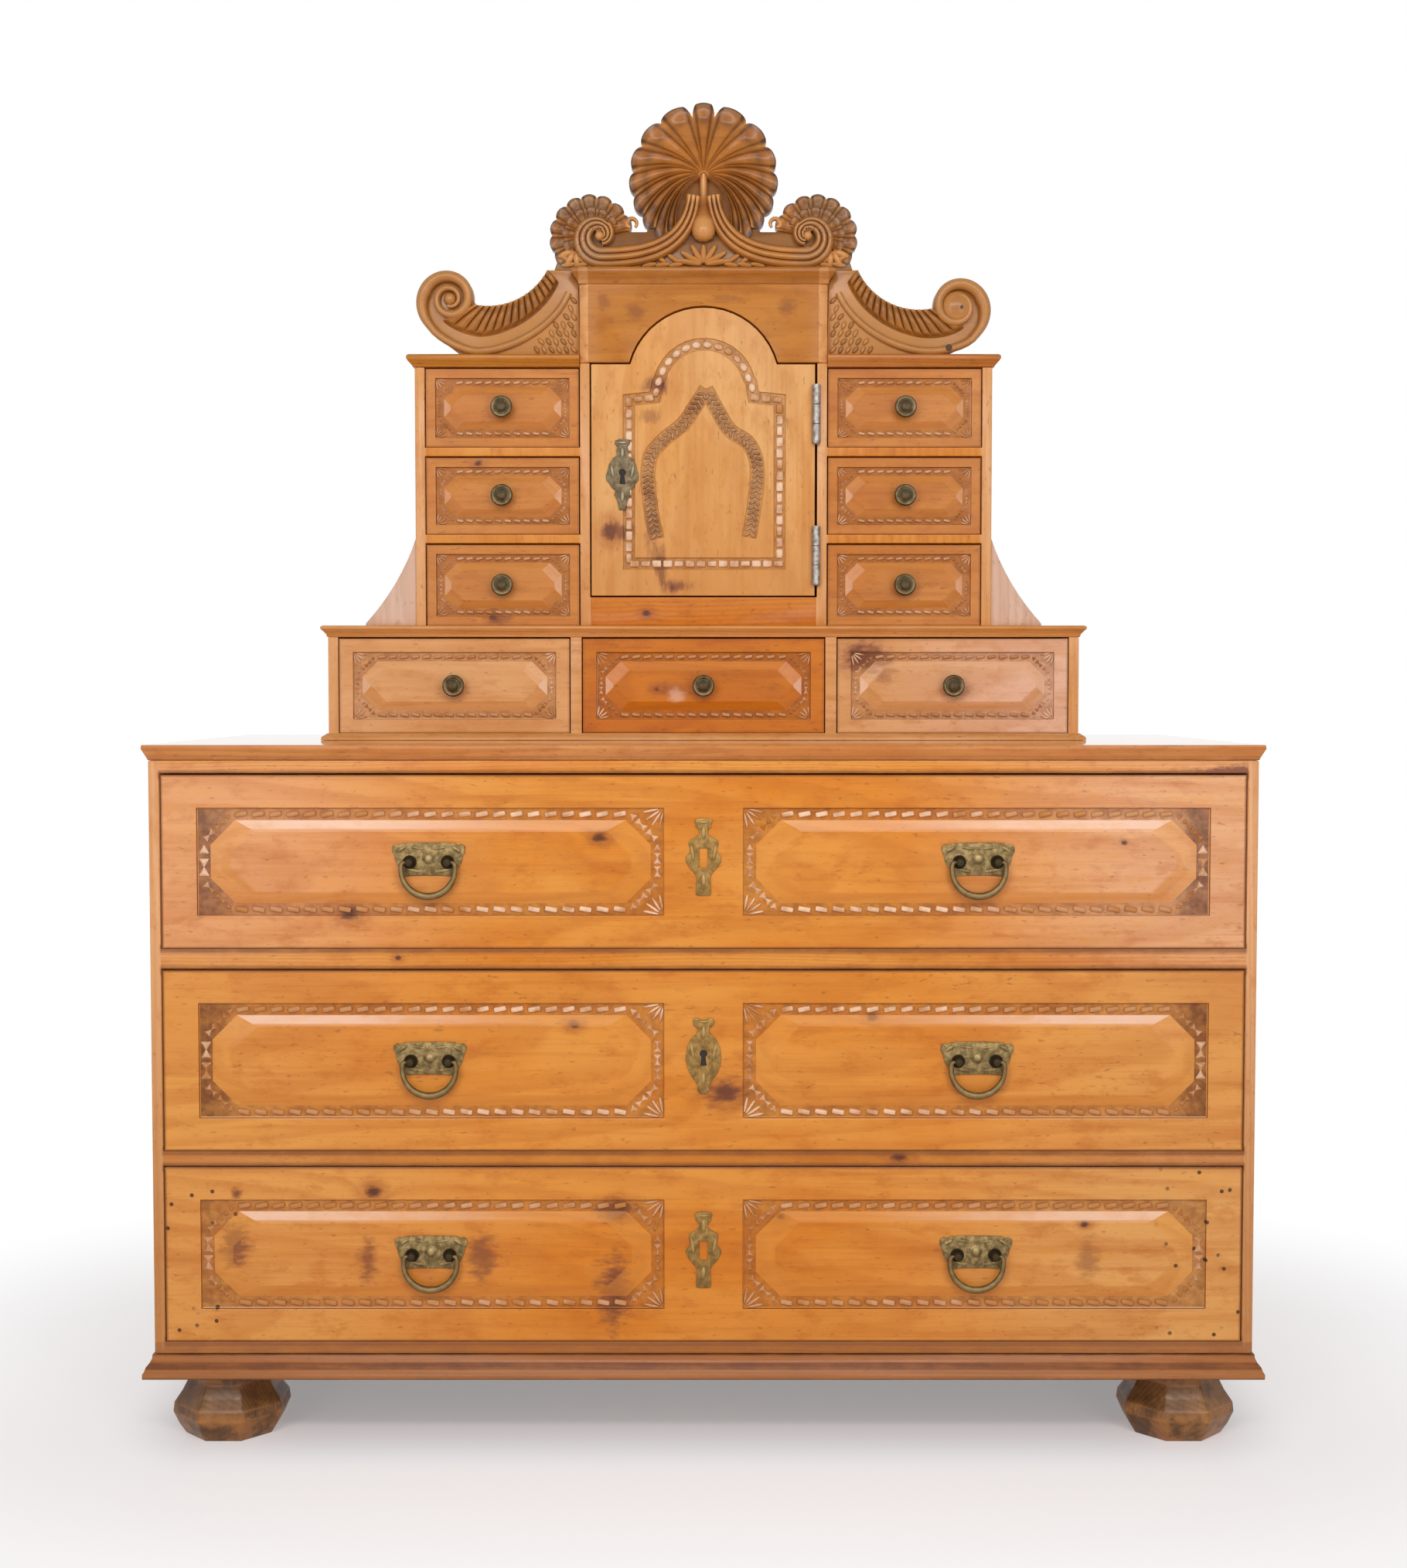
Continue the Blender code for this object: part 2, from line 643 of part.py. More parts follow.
def bail(name, holder, x):
    # A half ring that hangs from its turned-in ends, swinging on the line through them
    y = holder.location.y - SEAT - PLATE_T - BAIL_STANDOFF
    z = holder.location.z
    face = POST_SPACING / 2 + POST_R
    reach = BAIL_W / 2 - BAIL_WIRE_R
    ring_z = BAIL_W / 2 - BAIL_DROP
    half = [
        (face - BAIL_PIN_DEPTH, 0.0, BAIL_PIN_R), (face + BAIL_PIN_CLEARANCE, 0.0, BAIL_PIN_R),
        ((face + reach) / 2, 0.0, BAIL_SHANK_R * 0.85), (reach, ring_z * 0.5, BAIL_SHANK_R),
    ]
    steps = 12
    ring = arc((0.0, ring_z), reach, 0.0, -math.pi, steps)
    path = [(dx, dz) for dx, dz, radius in half] + ring + [(-dx, dz) for dx, dz, radius in reversed(half)]
    radii = [radius for dx, dz, radius in half]
    gain = BAIL_WIRE_R - BAIL_SHANK_R
    swell = [BAIL_SHANK_R + gain * math.sin(math.pi * i / steps) for i in range(steps + 1)]
    places = [(x + dx, y, z + dz) for dx, dz in path]
    item = tube(name, places, radii + swell + radii[::-1], (x, y, z))
    attach(paint(item, "brass"), holder)


def escutcheon(name, holder, x, y, z):
    # A cartouche with a finial above and a flared foot below, pierced for the key
    w, h = ESCUTCHEON_W / 2, ESCUTCHEON_H / 2
    half = [
        (0.10 * w, h), (0.34 * w, 0.93 * h), (0.40 * w, 0.84 * h), (0.22 * w, 0.76 * h),
        (0.55 * w, 0.66 * h), (0.92 * w, 0.44 * h), (w, 0.20 * h), (0.86 * w, -0.06 * h),
        (0.56 * w, -0.28 * h), (0.42 * w, -0.50 * h), (0.56 * w, -0.72 * h), (0.80 * w, -0.88 * h),
        (0.62 * w, -0.97 * h), (0.24 * w, -h),
    ]
    outline = [(x + dx, z + dz) for dx, dz in mirrored(half)]
    eye = (x, z + KEYHOLE_DROP / 2)
    slot = KEYHOLE_SLOT_W / 2
    lean = math.asin(slot / KEYHOLE_R)
    hole = arc(eye, KEYHOLE_R, lean - math.pi / 2, 1.5 * math.pi - lean, 8)
    hole += [(x - slot, z - KEYHOLE_DROP), (x + slot, z - KEYHOLE_DROP)]
    item = slab(name, [outline, hole], y - SEAT - ESCUTCHEON_T, y - SEAT, (x, y - SEAT, z))
    attach(paint(item, "brass"), holder)


# Chest

def foot(name, x, y):
    profile = [
        (FOOT_SOLE_R, 0.0), (0.90 * FOOT_BULGE_R, 0.15), (FOOT_BULGE_R, 0.33), (0.98 * FOOT_BULGE_R, 0.46),
        (0.84 * FOOT_BULGE_R, 0.62), (FOOT_NECK_R, 0.78), (1.02 * FOOT_NECK_R, 0.90), (FOOT_HEAD_R, 1.0),
    ]
    across = math.cos(math.pi / FOOT_SIDES)
    steps = [(radius / across, share * FOOT_H) for radius, share in profile]
    bm = turned(steps, FOOT_SIDES, upright((x, y, 0.0)), math.pi / FOOT_SIDES)
    paint(from_bmesh(name, bm, (x, y, 0.0)), "pine")


def plank_back(name, half_width, z0, z1):
    # Upright boards with a V groove at each joint, seen from behind
    count = max(1, round(2 * half_width / PLANK_W))
    front, back = BACK - BACK_T, BACK
    outline = [(-half_width, front), (half_width, front), (half_width, back)]
    for i in range(count - 1, 0, -1):
        x = -half_width + 2 * half_width * i / count
        outline += [(x + PLANK_GROOVE, back), (x, back - PLANK_GROOVE), (x - PLANK_GROOVE, back)]
    outline.append((-half_width, back))
    return prism(name, outline, z0, z1)


def chest():
    foot_x = CHEST_HALF + BASE_PROJECTION - FOOT_INSET
    foot_front = FRONT - BASE_PROJECTION + FOOT_INSET
    foot_back = BACK - FOOT_INSET
    for side, x in (("left", -foot_x), ("right", foot_x)):
        foot("foot_front_" + side, x, foot_front)
        foot("foot_back_" + side, x, foot_back)
    cyma = [
        (0.0, 1.0), (0.22, 1.0), (0.30, 0.86), (0.48, 0.72), (0.66, 0.40), (0.84, 0.22), (1.0, 0.20),
    ]
    profile = [(BASE_Z + share * BASE_H, out * BASE_PROJECTION) for share, out in cyma]
    paint(moulded_board("base_moulding", profile, -CHEST_HALF, CHEST_HALF, FRONT, BACK), "pine")
    inner = CHEST_HALF - CHEST_SIDE_T
    heights = ((LOWER_Z, LOWER_OPENING_H), (MIDDLE_Z, MIDDLE_OPENING_H), (UPPER_Z, UPPER_OPENING_H))
    bays = [(-inner, z, inner, z + height) for z, height in heights]
    case = [rectangle(-CHEST_HALF, CASE_Z, CHEST_HALF, CASE_TOP_Z)] + [rectangle(*bay) for bay in bays]
    paint(slab("chest_case", case, FRONT, CASE_BACK), "pine")
    paint(plank_back("chest_back", CHEST_HALF, CASE_Z, CASE_TOP_Z), "pine")
    nosing = [(0.0, 0.6), (0.12, 0.9), (0.35, 1.0), (0.75, 1.0), (1.0, 0.55)]
    under = CASE_TOP_Z + SEAT
    profile = [(under + share * CHEST_TOP_T, out * CHEST_TOP_OVERHANG) for share, out in nosing]
    paint(moulded_board("chest_top", profile, -CHEST_HALF, CHEST_HALF, FRONT, BACK), "pine")
    for level, bay in zip(("bottom", "middle", "top"), bays):
        item = drawer("drawer_large_" + level, bay, FRONT, CASE_BACK, LARGE_BUILD, LARGE_STYLE)
        for side, x in (("left", -PULL_OFFSET), ("right", PULL_OFFSET)):
            plate("bail_plate_" + level + "_" + side, item, x)
            bail("bail_" + level + "_" + side, item, x)
        x, y, z = item.location
        escutcheon("escutcheon_" + level, item, x, y, z + ESCUTCHEON_RAISE)


# Drawer tier

def tier():
    side, divider = TIER_HALF - TIER_SIDE_T, TIER_CENTRE_W / 2 + TIER_DIVIDER_T
    centre = TIER_CENTRE_W / 2
    strip = TIER_FLOOR_Z - TIER_BASE_H / 2
    comb = [(-TIER_HALF, strip), (TIER_HALF, strip), (TIER_HALF, TIER_CEIL_Z), (side, TIER_CEIL_Z)]
    comb += [(side, TIER_FLOOR_Z), (divider, TIER_FLOOR_Z), (divider, TIER_CEIL_Z), (centre, TIER_CEIL_Z)]
    comb += [(centre, TIER_FLOOR_Z), (-centre, TIER_FLOOR_Z), (-centre, TIER_CEIL_Z)]
    comb += [(-divider, TIER_CEIL_Z), (-divider, TIER_FLOOR_Z), (-side, TIER_FLOOR_Z)]
    comb += [(-side, TIER_CEIL_Z), (-TIER_HALF, TIER_CEIL_Z)]
    case = slab("tier_case", [comb], TIER_FRONT, CASE_BACK)
    ovolo = [(0.0, 1.0), (0.35, 0.98), (0.60, 0.78), (0.80, 0.44), (1.0, 0.22)]
    profile = [(TIER_Z + share * TIER_BASE_H * 0.98, out * TIER_MOULD) for share, out in ovolo]
    fuse(case, moulded_board("base", profile, -TIER_HALF, TIER_HALF, TIER_FRONT, CASE_BACK))
    paint(case, "pine")
    lip = [(0.0, 0.15), (0.25, 0.25), (0.50, 0.62), (0.72, 1.0), (0.90, 1.0), (1.0, 0.7)]
    under = TIER_CEIL_Z + SEAT
    profile = [(under + share * TIER_TOP_T, out * TIER_MOULD) for share, out in lip]
    paint(moulded_board("tier_top", profile, -TIER_HALF, TIER_HALF, TIER_FRONT, CASE_BACK), "pine")
    bays = {"left": (-side, -divider), "centre": (-centre, centre), "right": (divider, side)}
    for place, (x0, x1) in bays.items():
        bay = (x0, TIER_FLOOR_Z, x1, TIER_CEIL_Z + SEAT)
        item = drawer("drawer_tier_" + place, bay, TIER_FRONT, CASE_BACK, SMALL_BUILD, TIER_STYLE)
        knob("knob_tier_" + place, item)


# Upper cabinet

def bracket(side):
    # A hollow-edged board beside the bank, on the tier's top
    foot_x = side * (UPPER_HALF + BRACKET_W)
    toe = (foot_x, UPPER_FOOT_Z + BRACKET_TOE)
    top = (side * UPPER_HALF, UPPER_FOOT_Z + BRACKET_H)
    inner = side * (UPPER_HALF - LAP)
    edge = hollow_edge(top, toe, BRACKET_HOLLOW, 8)
    outline = [(inner, UPPER_FOOT_Z), (inner, top[1])] + edge + [(foot_x, UPPER_FOOT_Z)]
    front = UPPER_FRONT + BRACKET_SETBACK
    return slab("bracket", [outline], front, front + BRACKET_T)


def upper_case():
    u, b, inner, outer = UPPER_HALF, UPPER_HALF - BOARD_T, POST_INNER, POST_OUTER
    foot_z, cap_z, top_z = UPPER_FOOT_Z, CAP_Z - SEAT, CORNICE_Z - SEAT
    half = [
        (outer, foot_z), (outer, SHELF_1_Z), (b, SHELF_1_Z), (b, foot_z), (u, foot_z), (u, cap_z),
        (b, cap_z), (b, BANK_3_Z), (outer, BANK_3_Z), (outer, top_z), (inner, top_z), (inner, SILL_TOP_Z),
    ]
    outline = half + [(-x, z) for x, z in reversed(half)]
    bays = [rectangle(outer, BANK_2_Z, b, SHELF_2_Z), rectangle(-b, BANK_2_Z, -outer, SHELF_2_Z)]
    case = slab("upper_case", [outline] + bays, UPPER_FRONT, CASE_BACK)
    fuse(case, bracket(-1), bracket(1))
    floor_z = SILL_TOP_Z - CUPBOARD_FLOOR_T
    under_floor = box((-inner, UPPER_FRONT + SILL_T, foot_z - LAP), (inner, CASE_BACK + LAP, floor_z))
    notch_back = UPPER_FRONT - FRIEZE_PROUD + FRIEZE_T + SEAT
    notch = box((-outer - LAP, UPPER_FRONT - LAP, FRIEZE_Z - SEAT), (outer + LAP, notch_back, top_z + LAP))
    cut(case, under_floor, notch)
    paint(case, "pine")


def caps():
    lip = [(0.0, 0.25), (0.20, 0.38), (0.45, 0.80), (0.62, 1.0), (0.88, 1.0), (1.0, 0.72)]
    profile = [(CAP_Z + share * CAP_T, out * CAP_OVERHANG) for share, out in lip]
    inner = POST_OUTER + SEAT
    left = moulded_board("cap_left", profile, -UPPER_HALF, -inner, UPPER_FRONT, CASE_BACK, right=False)
    right = moulded_board("cap_right", profile, inner, UPPER_HALF, UPPER_FRONT, CASE_BACK, left=False)
    paint(left, "pine")
    paint(right, "pine")


def upper_back():
    # One stepped back for the tier, the banks and the cupboard
    t, u, p = TIER_HALF, UPPER_HALF, POST_OUTER
    half = [
        (t, TIER_Z), (t, TIER_TOP_Z), (u, TIER_TOP_Z), (u, CAP_TOP_Z), (p, CAP_TOP_Z), (p, CORNICE_TOP_Z),
    ]
    outline = half + [(-x, z) for x, z in reversed(half)]
    paint(slab("upper_back", [outline], BACK - BACK_T, BACK), "pine")


def banks():
    levels = {
        "bottom": (TIER_TOP_Z, SHELF_1_Z), "middle": (BANK_2_Z, SHELF_2_Z), "top": (BANK_3_Z, CAP_Z),
    }
    sides = {"left": (BOARD_T - UPPER_HALF, -POST_OUTER), "right": (POST_OUTER, UPPER_HALF - BOARD_T)}
    for side, (x0, x1) in sides.items():
        for level, (z0, z1) in levels.items():
            place = "bank_" + side + "_" + level
            bay = (x0, z0, x1, z1)
            item = drawer("drawer_" + place, bay, UPPER_FRONT, CASE_BACK, SMALL_BUILD, BANK_STYLE)
            knob("knob_" + place, item)


def cornice_profile():
    ogee = [(0.0, 0.15), (0.15, 0.22), (0.35, 0.42), (0.55, 0.80), (0.70, 1.0), (0.90, 1.0), (1.0, 0.8)]
    return [(CORNICE_Z + share * CORNICE_T, out * CORNICE_PROJECTION) for share, out in ogee]


def frieze():
    opening = arch(ARCH_HALF_W, ARCH_RISE, FRIEZE_Z, 0.0, 20)
    front = UPPER_FRONT - FRIEZE_PROUD
    outline = [(-POST_OUTER, FRIEZE_Z), (-POST_OUTER, CORNICE_Z + LAP), (POST_OUTER, CORNICE_Z + LAP)]
    outline += [(POST_OUTER, FRIEZE_Z)] + opening
    item = slab("frieze_cornice", [outline], front, front + FRIEZE_T)
    # The front's upright ends are bevelled back to the posts
    for end in (-POST_OUTER, POST_OUTER):
        start = end - math.copysign(FRIEZE_BEVEL, end)
        past = end + math.copysign(LAP, end)
        corner = [
            (start, front), (start, front - LAP), (past, front - LAP), (past, UPPER_FRONT), (end, UPPER_FRONT),
        ]
        cut(item, prism("bevel", corner, FRIEZE_Z - LAP, CORNICE_Z + 2 * LAP))
    board = moulded_board("cornice", cornice_profile(), -POST_OUTER, POST_OUTER, front, CASE_BACK)
    paint(fuse(item, board), "pine")


# Door

def leaf(name, x0, x1, foot_z, bands, pin):
    # A plate in the gap beside the door, with its share of the knuckles
    joint = bands[0] / 2
    clear = KNUCKLE_R + SEAT
    plate_item = box((x0, HINGE_Y + clear, foot_z), (x1, HINGE_Y + clear + LEAF_DEPTH, foot_z + HINGE_H))
    plate_item.name = name
    third = HINGE_H / 3
    parts = []
    for band in bands[1]:
        lo = foot_z + band * third + (joint if band else 0.0)
        hi = foot_z + (band + 1) * third - (joint if band < 2 else 0.0)
        knuckle = [(KNUCKLE_R, lo), (KNUCKLE_R, hi)]
        parts.append(from_bmesh("knuckle", turned(knuckle, 14, upright((HINGE_X, HINGE_Y, 0.0)))))
        parts.append(box((x0, HINGE_Y, lo), (x1, HINGE_Y + clear + LAP, hi)))
    fuse(plate_item, *parts)
    shaft = [(pin, foot_z - LAP), (pin, foot_z + HINGE_H + LAP)]
    return plate_item, from_bmesh("shaft", turned(shaft, 10, upright((HINGE_X, HINGE_Y, 0.0))))


def door():
    x0, x1 = DOOR_GAP - POST_INNER, POST_INNER - HINGE_GAP
    z0, z1 = SILL_TOP_Z + DOOR_GAP, FRIEZE_Z - DOOR_GAP
    head = arch(ARCH_HALF_W, ARCH_RISE, FRIEZE_Z, DOOR_GAP, 20)
    outline = [(x0, z0), (x1, z0), (x1, z1)] + head + [(x0, z1)]
    origin = (HINGE_X, HINGE_Y, z0)
    item = paint(slab("door", [outline], DOOR_FRONT, DOOR_FRONT + DOOR_T, origin), "pine")
    escutcheon("escutcheon_door", item, x0 + DOOR_ESCUTCHEON_IN, DOOR_FRONT, TIER_TOP_Z + DOOR_ESCUTCHEON_UP)
    half_gap = LEAF_CLEARANCE / 2
    heights = {"lower": z0 + LOWER_HINGE_EDGE, "upper": z1 - HINGE_EDGE - HINGE_H}
    for place, foot_z in heights.items():
        frame_x = (HINGE_X + half_gap, HINGE_X + half_gap + LEAF_T)
        bands = (LEAF_CLEARANCE, (0, 2))
        fixed, pin = leaf("hinge_" + place + "_frame_leaf", *frame_x, foot_z, bands, HINGE_PIN_R)
        paint(fuse(fixed, pin), "steel")
        door_x = (HINGE_X - half_gap - LEAF_T, HINGE_X - half_gap)
        bore = HINGE_PIN_R + HINGE_PIN_CLEARANCE
        moving, hole = leaf("hinge_" + place + "_door_leaf", *door_x, foot_z, (LEAF_CLEARANCE, (1,)), bore)
        cut(moving, hole)
        attach(paint(moving, "steel"), item)


# Carved crest

def lobed_fan(name, centre, edges, depths, sizes):
    # A shell of hollow flutes: edges are the angles of the ridges, scallops close each flute
    front, back = depths
    radius, scallop, dome, scoop = sizes
    per_lobe, rings = 4, 4
    angles, hollows = [], []
    for low, high in zip(edges, edges[1:]):
        for i in range(per_lobe):
            angles.append(low + (high - low) * i / per_lobe)
            hollows.append(math.sin(math.pi * i / per_lobe))
    angles.append(edges[-1])
    hollows.append(0.0)
    bm = bmesh.new()
    grid = []
    for ring in range(1, rings + 1):
        share = ring / rings
        row = []
        for angle, hollow in zip(angles, hollows):
            reach = share * radius + share ** 3 * scallop * hollow
            depth = front - dome * (1 - share ** 2) + scoop * share * hollow
            x = centre[0] + reach * math.cos(angle)
            z = centre[1] + reach * math.sin(angle)
            row.append(bm.verts.new((x, depth, z)))
        grid.append(row)
    eye = bm.verts.new((centre[0], front - dome, centre[1]))
    eye_back = bm.verts.new((centre[0], back, centre[1]))
    rim_back = [bm.verts.new((vert.co.x, back, vert.co.z)) for vert in grid[-1]]
    last = len(angles) - 1
    for i in range(last):
        bm.faces.new((eye, grid[0][i], grid[0][i + 1]))
        bm.faces.new((eye_back, rim_back[i + 1], rim_back[i]))
        bm.faces.new((grid[-1][i], rim_back[i], rim_back[i + 1], grid[-1][i + 1]))
        for low, high in zip(grid, grid[1:]):
            bm.faces.new((low[i], high[i], high[i + 1], low[i + 1]))
    for i in (0, last):
        bm.faces.new([eye] + [row[i] for row in grid] + [rim_back[i], eye_back])
    return from_bmesh(name, bm)


def shell_edges():
    # Ridge angles of the shell: a narrow top lobe, then wide ones that shrink down each side
    steps = [SHELL_TOP_LOBE / 2]
    width = SHELL_NEXT_LOBE
    for _ in range(SHELL_SIDE_LOBES):
        steps.append(steps[-1] + width)
        width *= SHELL_LOBE_RATIO
    degrees = [90 - step for step in reversed(steps)] + [90 + step for step in steps]
    return [math.radians(angle) for angle in degrees]


def bezier(p0, p1, p2, p3, steps):
    points = []
    for i in range(steps + 1):
        t = i / steps
        weights = ((1 - t) ** 3, 3 * t * (1 - t) ** 2, 3 * t ** 2 * (1 - t), t ** 3)
        points.append(tuple(sum(w * p[k] for w, p in zip(weights, (p0, p1, p2, p3))) for k in (0, 1)))
    return points


def scroll_path(side, foot_z):
    # From under the shell down and out along the cornice, then curling up inside the leaf
    eye = (LEAF_X - SCROLL_EYE_IN, foot_z + LEAF_RISE)
    curl = []
    steps = 14
    for i in range(steps + 1):
        share = i / steps
        angle = -0.55 * math.pi + 1.45 * math.pi * share
        radius = SCROLL_TURN_R + (SCROLL_EYE_R - SCROLL_TURN_R) * share
        curl.append((eye[0] + radius * math.cos(angle), eye[1] + radius * math.sin(angle)))
    start = (SCROLL_START_X, foot_z + 0.80 * SHELL_RISE)
    pull = (1.6 * SCROLL_START_X, foot_z + SCROLL_DIP)
    sweep = bezier(start, pull, (0.6 * eye[0], curl[0][1]), curl[0], 10)
    return [(side * x, z) for x, z in sweep[:-1] + curl]


def crest():
    foot_z = CORNICE_TOP_Z + SEAT
    front = UPPER_FRONT + CREST_SETBACK
    back = front + CREST_T
    eye_z = foot_z + LEAF_RISE
    # The board backs the gap under the shell and the leaf's eye, down to the open notch
    half = [
        (0.10 * SHELL_R, foot_z + SHELL_RISE), (0.65 * SHELL_R, foot_z + 0.63 * SHELL_RISE),
        (0.82 * SHELL_R, foot_z + NOTCH_RISE), (LEAF_X - LEAF_R, foot_z + NOTCH_RISE),
        (LEAF_X - 0.5 * LEAF_R, eye_z + 0.3 * LEAF_R), (LEAF_X + 0.5 * LEAF_R, eye_z),
        (CREST_HALF_W - 0.4 * CREST_WAIST, foot_z + 1.8 * CREST_WAIST_RISE),
        (CREST_HALF_W - CREST_WAIST, foot_z + CREST_WAIST_RISE), (CREST_HALF_W, foot_z),
    ]
    item = slab("crest", [mirrored(half)], front + LAP, back)
    centre = (0.0, foot_z + SHELL_RISE)
    shell = (SHELL_R, SHELL_SCALLOP, SHELL_DOME, SHELL_SCOOP)
    parts = [lobed_fan("shell", centre, shell_edges(), (front, back - LAP), shell)]
    leaf_sizes = (LEAF_R, LEAF_SCALLOP, LEAF_DOME, LEAF_SCOOP)
    low, high = math.radians(LEAF_FROM), math.radians(LEAF_TO)
    ridges = [low + (high - low) * i / LEAF_LOBES for i in range(LEAF_LOBES + 1)]
    leaf_depth = (front - LAP / 2, back - 2 * LAP)
    for side in (-1, 1):
        angles = [math.pi - angle for angle in reversed(ridges)] if side > 0 else ridges
        eye = (side * LEAF_X, eye_z)
        parts.append(lobed_fan("leaf", eye, angles, leaf_depth, leaf_sizes))
        path = scroll_path(side, foot_z)
        last = len(path) - 1
        radii = [SCROLL_R * (0.75 + 0.25 * math.sin(math.pi * i / last)) for i in range(last + 1)]
        parts.append(tube("scroll", [(x, front - SCROLL_PROUD, z) for x, z in path], radii))
    drop_z, drop_h = foot_z + DROP_FOOT, DROP_TOP - DROP_FOOT
    bulge = [(0.25, 0.0), (0.80, 0.06), (1.0, 0.17), (0.90, 0.29), (0.55, 0.48)]
    profile = [(share * DROP_R, drop_z + up * drop_h) for share, up in bulge]
    profile += [(DROP_STEM_R, drop_z + 0.74 * drop_h), (DROP_STEM_R, drop_z + drop_h)]
    parts.append(from_bmesh("drop", turned(profile, 10, upright((0.0, front - SCROLL_PROUD, 0.0)))))
    fuse(item, *parts)
    paint(item, "carved_pine")


# Scrolled wings

def volute_point(centre, angle, inset):
    # The angle is measured from the side that meets the sweep, up and over
    radius = VOLUTE_R * VOLUTE_GROWTH ** (angle / (math.pi / 2)) - inset
    return (centre[0] - radius * math.cos(angle), centre[1] + radius * math.sin(angle))


def wing(name, side, rise):
    foot_z = CAP_TOP_Z + SEAT
    front = UPPER_FRONT + WING_SETBACK
    post = POST_OUTER + SEAT
    cornice_end = post + CORNICE_PROJECTION
    top_z = CORNICE_TOP_Z
    centre = (VOLUTE_X, foot_z + rise)
    sweep = (SWEEP_X, foot_z + SWEEP_RISE + (rise - VOLUTE_RISE_LEFT) / 2)
    start = -math.pi + math.asin((sweep[1] - top_z) / SWEEP_R)
    meet = volute_point(centre, 0.0, 0.0)
    end = -math.pi / 2 + math.asin((meet[0] - sweep[0]) / SWEEP_R)
    turn_out = 1.3 * math.pi
    # The inner edge is coped round the cornice's end
    outline = [(post, foot_z)] + [(post + SEAT + out, z) for z, out in cornice_profile()]
    outline += arc(sweep, SWEEP_R, start, end, 12)[:-1]
    outline += [volute_point(centre, turn_out * i / 18, 0.0) for i in range(19)]
    outline.append((WING_FOOT_X, foot_z))
    item = slab(name, [[(side * x, z) for x, z in outline]], front, front + WING_T, smooth=30)
    inner_turn = -2 * math.pi * BEAD_EYE_TURNS
    steps = 34
    path = []
    for i in range(steps + 1):
        angle = inner_turn + (turn_out - inner_turn) * i / steps
        path.append(volute_point(centre, angle, BEAD_R))
    tail = path[-1]
    low = (WING_FOOT_X - 4 * BEAD_R, foot_z + 1.2 * BEAD_R)
    head = (cornice_end + BEAD_R, CORNICE_Z - 2 * BEAD_R)
    leave = (tail[0] - 3 * BEAD_R, tail[1] - 4 * BEAD_R)
    path += bezier(tail, leave, (low[0] + 3 * BEAD_R, low[1]), low, 4)[1:]
    rise_from = (head[0] + 4 * BEAD_R, head[1] - SWEEP_R / 2)
    path += bezier(low, (low[0] - SWEEP_R / 2, low[1]), rise_from, head, 8)[1:]
    radii = [BEAD_R * min(1.0, 0.35 + i / 12) for i in range(len(path))]
    bead = tube("bead", [(side * x, front, z) for x, z in path], radii)
    paint(fuse(item, bead), "carved_pine")


def main():
    clear_scene()
    chest()
    tier()
    upper_case()
    caps()
    upper_back()
    banks()
    frieze()
    door()
    crest()
    wing("wing_left", -1, VOLUTE_RISE_LEFT)
    wing("wing_right", 1, VOLUTE_RISE_RIGHT)


main()
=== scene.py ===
import json
from math import asin, atan2, copysign, cos, dist, exp, pi, radians, sin, sqrt
import bpy
from mathutils import Matrix, Vector

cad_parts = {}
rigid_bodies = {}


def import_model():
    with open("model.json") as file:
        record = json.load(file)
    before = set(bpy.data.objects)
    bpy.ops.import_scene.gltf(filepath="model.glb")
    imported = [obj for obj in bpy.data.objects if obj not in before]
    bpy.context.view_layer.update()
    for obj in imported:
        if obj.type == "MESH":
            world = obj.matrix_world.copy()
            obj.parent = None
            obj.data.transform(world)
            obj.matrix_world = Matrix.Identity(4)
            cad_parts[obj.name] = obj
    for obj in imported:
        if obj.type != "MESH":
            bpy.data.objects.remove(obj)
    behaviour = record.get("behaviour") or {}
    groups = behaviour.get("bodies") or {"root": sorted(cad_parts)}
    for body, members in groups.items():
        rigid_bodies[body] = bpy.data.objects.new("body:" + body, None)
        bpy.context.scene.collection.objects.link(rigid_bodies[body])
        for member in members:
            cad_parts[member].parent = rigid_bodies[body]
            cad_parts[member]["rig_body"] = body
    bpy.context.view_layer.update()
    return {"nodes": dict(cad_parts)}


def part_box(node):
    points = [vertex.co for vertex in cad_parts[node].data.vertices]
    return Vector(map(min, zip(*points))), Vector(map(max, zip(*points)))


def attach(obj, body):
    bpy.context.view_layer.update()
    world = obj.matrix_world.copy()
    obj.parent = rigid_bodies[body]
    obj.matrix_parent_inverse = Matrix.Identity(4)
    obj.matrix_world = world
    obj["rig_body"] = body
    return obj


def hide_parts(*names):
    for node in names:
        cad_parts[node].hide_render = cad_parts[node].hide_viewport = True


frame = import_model()
nodes = frame["nodes"]
print("frame loaded with", len(nodes), "nodes")


# Handling of pieces

def named(start):
    return sorted(name for name in nodes if name.startswith(start))


def takeUp(*items):  # these alone are selected, the first one active
    bpy.ops.object.select_all(action='DESELECT')
    for item in items:
        item.select_set(True)
    bpy.context.view_layer.objects.active = items[0]


def editAll(item):
    takeUp(item)
    bpy.ops.object.mode_set(mode='EDIT')
    bpy.ops.mesh.select_all(action='SELECT')


def leaveEdit():
    bpy.ops.object.mode_set(mode='OBJECT')


def modify(item, kind, **settings):
    takeUp(item)
    change = item.modifiers.new(kind.lower(), kind)
    for key, value in settings.items():
        setattr(change, key, value)
    bpy.ops.object.modifier_apply(modifier=change.name)
    return item


